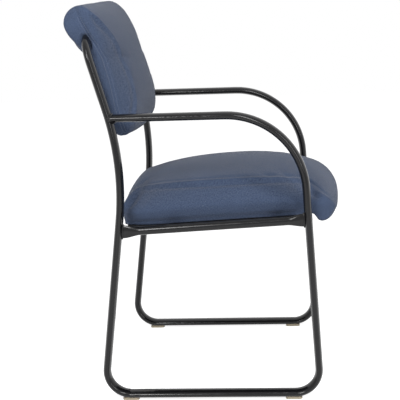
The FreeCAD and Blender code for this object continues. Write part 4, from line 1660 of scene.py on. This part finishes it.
@dataclass(frozen=True)
class ViewingCamera:
    """Camera at the photograph's place and angle."""

    location: Place = (-2.60069, -0.18223, 0.90083)
    yaw: float = math.radians(4.6988)
    pitch: float = math.radians(11.0989)
    roll: float = math.radians(-2.0857)
    lens: float = 102.14
    sensor: float = 36.0
    nearest: float = 0.05
    farthest: float = 60.0

    def build(self) -> None:
        """Makes the camera and sets it as the scene's own."""
        forward = Vector((
            math.cos(self.yaw) * math.cos(self.pitch),
            math.sin(self.yaw) * math.cos(self.pitch),
            -math.sin(self.pitch),
        ))
        level = Vector((math.sin(self.yaw), -math.cos(self.yaw), 0.0))
        upright = level.cross(forward)
        right = level * math.cos(self.roll) + upright * math.sin(self.roll)
        up = upright * math.cos(self.roll) - level * math.sin(self.roll)
        data = bpy.data.cameras.new("viewing_camera")
        data.lens = self.lens
        data.sensor_fit = "HORIZONTAL"
        data.sensor_width = self.sensor
        data.clip_start = self.nearest
        data.clip_end = self.farthest
        camera = bpy.data.objects.new("viewing_camera", data)
        bpy.context.scene.collection.objects.link(camera)
        turn = Matrix((right, up, -forward)).transposed().to_4x4()
        camera.matrix_world = Matrix.Translation(self.location) @ turn
        bpy.context.scene.camera = camera


@dataclass(frozen=True)
class SoftBox:
    """Rectangular studio lamp that points at a target."""

    name: str
    location: Place
    size: tuple[float, float]
    power: float
    target: Place = (0.0, 0.0, 0.42)

    def build(self) -> None:
        """Makes the lamp."""
        data = bpy.data.lights.new(self.name, "AREA")
        data.shape = "RECTANGLE"
        data.size, data.size_y = self.size
        data.energy = self.power
        lamp = bpy.data.objects.new(self.name, data)
        bpy.context.scene.collection.objects.link(lamp)
        lamp.location = self.location
        aim = Vector(self.target) - Vector(self.location)
        lamp.rotation_mode = "QUATERNION"
        lamp.rotation_quaternion = aim.to_track_quat("-Z", "Y")


@dataclass(frozen=True)
class Studio:
    """Pale floor, white background and soft lamps."""

    floor_half: float = 6.0
    floor_height: float = -0.0004
    floor_colour: Colour = (0.80, 0.80, 0.80)
    white: Colour = (1.0, 1.0, 1.0)
    floor_glow: float = 0.85
    fill: float = 0.26
    lamps: tuple[SoftBox, ...] = (
        SoftBox("overhead_softbox", (-1.7, -0.6, 2.3), (0.45, 1.6), 26.0),
        SoftBox("front_softbox", (-1.9, -2.3, 1.6), (0.4, 1.8), 24.0),
        SoftBox("camera_softbox", (-2.5, 0.7, 2.1), (0.7, 1.0), 44.0),
    )

    def build(self) -> None:
        """Makes the floor, the world and the lamps."""
        self._floor()
        self._world()
        for lamp in self.lamps:
            lamp.build()

    def _seen_directly(self, canvas: NodeCanvas) -> Socket:
        """Socket that is 1 for camera, mirror and glass rays.

        Args:
            canvas: Tree of the floor's material or of the world.

        Returns:
            The socket.
        """
        path = canvas.add("ShaderNodeLightPath").outputs
        mirror = canvas.math("MAXIMUM", path["Is Camera Ray"], path["Is Glossy Ray"])
        return canvas.math("MAXIMUM", mirror, path["Is Transmission Ray"])

    def _floor(self) -> None:
        """Pale floor that keeps the chair's soft shadow."""
        h, z = self.floor_half, self.floor_height
        mesh = bpy.data.meshes.new("studio_floor")
        mesh.from_pydata([(-h, -h, z), (h, -h, z), (h, h, z), (-h, h, z)], [], [(0, 1, 2, 3)])
        floor = add_object(mesh, "studio_floor")
        material = bpy.data.materials.new("studio_floor_paint")
        material.use_nodes = True
        canvas = NodeCanvas(material.node_tree)
        paint = canvas.add("ShaderNodeBsdfDiffuse", {"Color": rgba(self.floor_colour)})
        strength = canvas.math("MULTIPLY", self._seen_directly(canvas), self.floor_glow)
        glow = canvas.add("ShaderNodeEmission", {"Color": rgba(self.white), "Strength": strength})
        both = canvas.add("ShaderNodeAddShader", {0: paint.outputs[0], 1: glow.outputs[0]})
        canvas.add("ShaderNodeOutputMaterial", {"Surface": both.outputs[0]})
        mesh.materials.append(material)

    def _world(self) -> None:
        """White where it is seen, and a gentle fill elsewhere."""
        world = bpy.data.worlds.new("studio_world")
        bpy.context.scene.world = world
        world.use_nodes = True
        canvas = NodeCanvas(world.node_tree)
        seen = self._seen_directly(canvas)
        level = canvas.add(
            "ShaderNodeMapRange", {"Value": seen, "To Min": self.fill, "To Max": 1.0}
        )
        feeds = {"Color": rgba(self.white), "Strength": level.outputs[0]}
        sky = canvas.add("ShaderNodeBackground", feeds)
        canvas.add("ShaderNodeOutputWorld", {"Surface": sky.outputs[0]})


@dataclass
class SteelFrame:
    """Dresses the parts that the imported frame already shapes."""

    shading: SmoothShading = field(default_factory=SmoothShading)

    def dress(self, nodes: dict[str, bpy.types.Object], shelf: MaterialShelf) -> None:
        """Gives each shown part its finish and smooth shading.

        Args:
            nodes: The frame's parts by name.
            shelf: Finishes of the chair.
        """
        tree = self.shading.build()
        starts = shelf.by_node()
        for name, part in sorted(nodes.items()):
            if part.hide_render:
                continue
            found = [key for key in starts if name.startswith(key)]
            if not found:
                LOG.warning("no finish for %s", name)
                continue
            material = starts[max(found, key=len)]
            if part.data.materials:
                for index in range(len(part.data.materials)):
                    part.data.materials[index] = material
            else:
                part.data.materials.append(material)
            self.shading.apply(part, tree)
            LOG.info("dressed %s", name)


def main() -> None:
    """Builds the chair's looks in order."""
    logging.basicConfig(level=logging.INFO, format="%(name)s: %(message)s")
    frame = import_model()
    bpy.context.scene.view_settings.view_transform = "Standard"
    ViewingCamera().build()
    Studio().build()
    shelf = MaterialShelf()
    seat = SeatCushion().build(shelf)
    LOG.info("built %s with %d faces", seat.name, len(seat.data.polygons))
    back_shape = BackCushion()
    back = back_shape.build(shelf)
    LOG.info("built %s with %d faces", back.name, len(back.data.polygons))
    stitches = BackSeams(back_shape).build(back, shelf)
    LOG.info("built %s with %d faces", stitches.name, len(stitches.data.polygons))
    SteelFrame().dress(frame["nodes"], shelf)


if __name__ == "__main__":
    main()
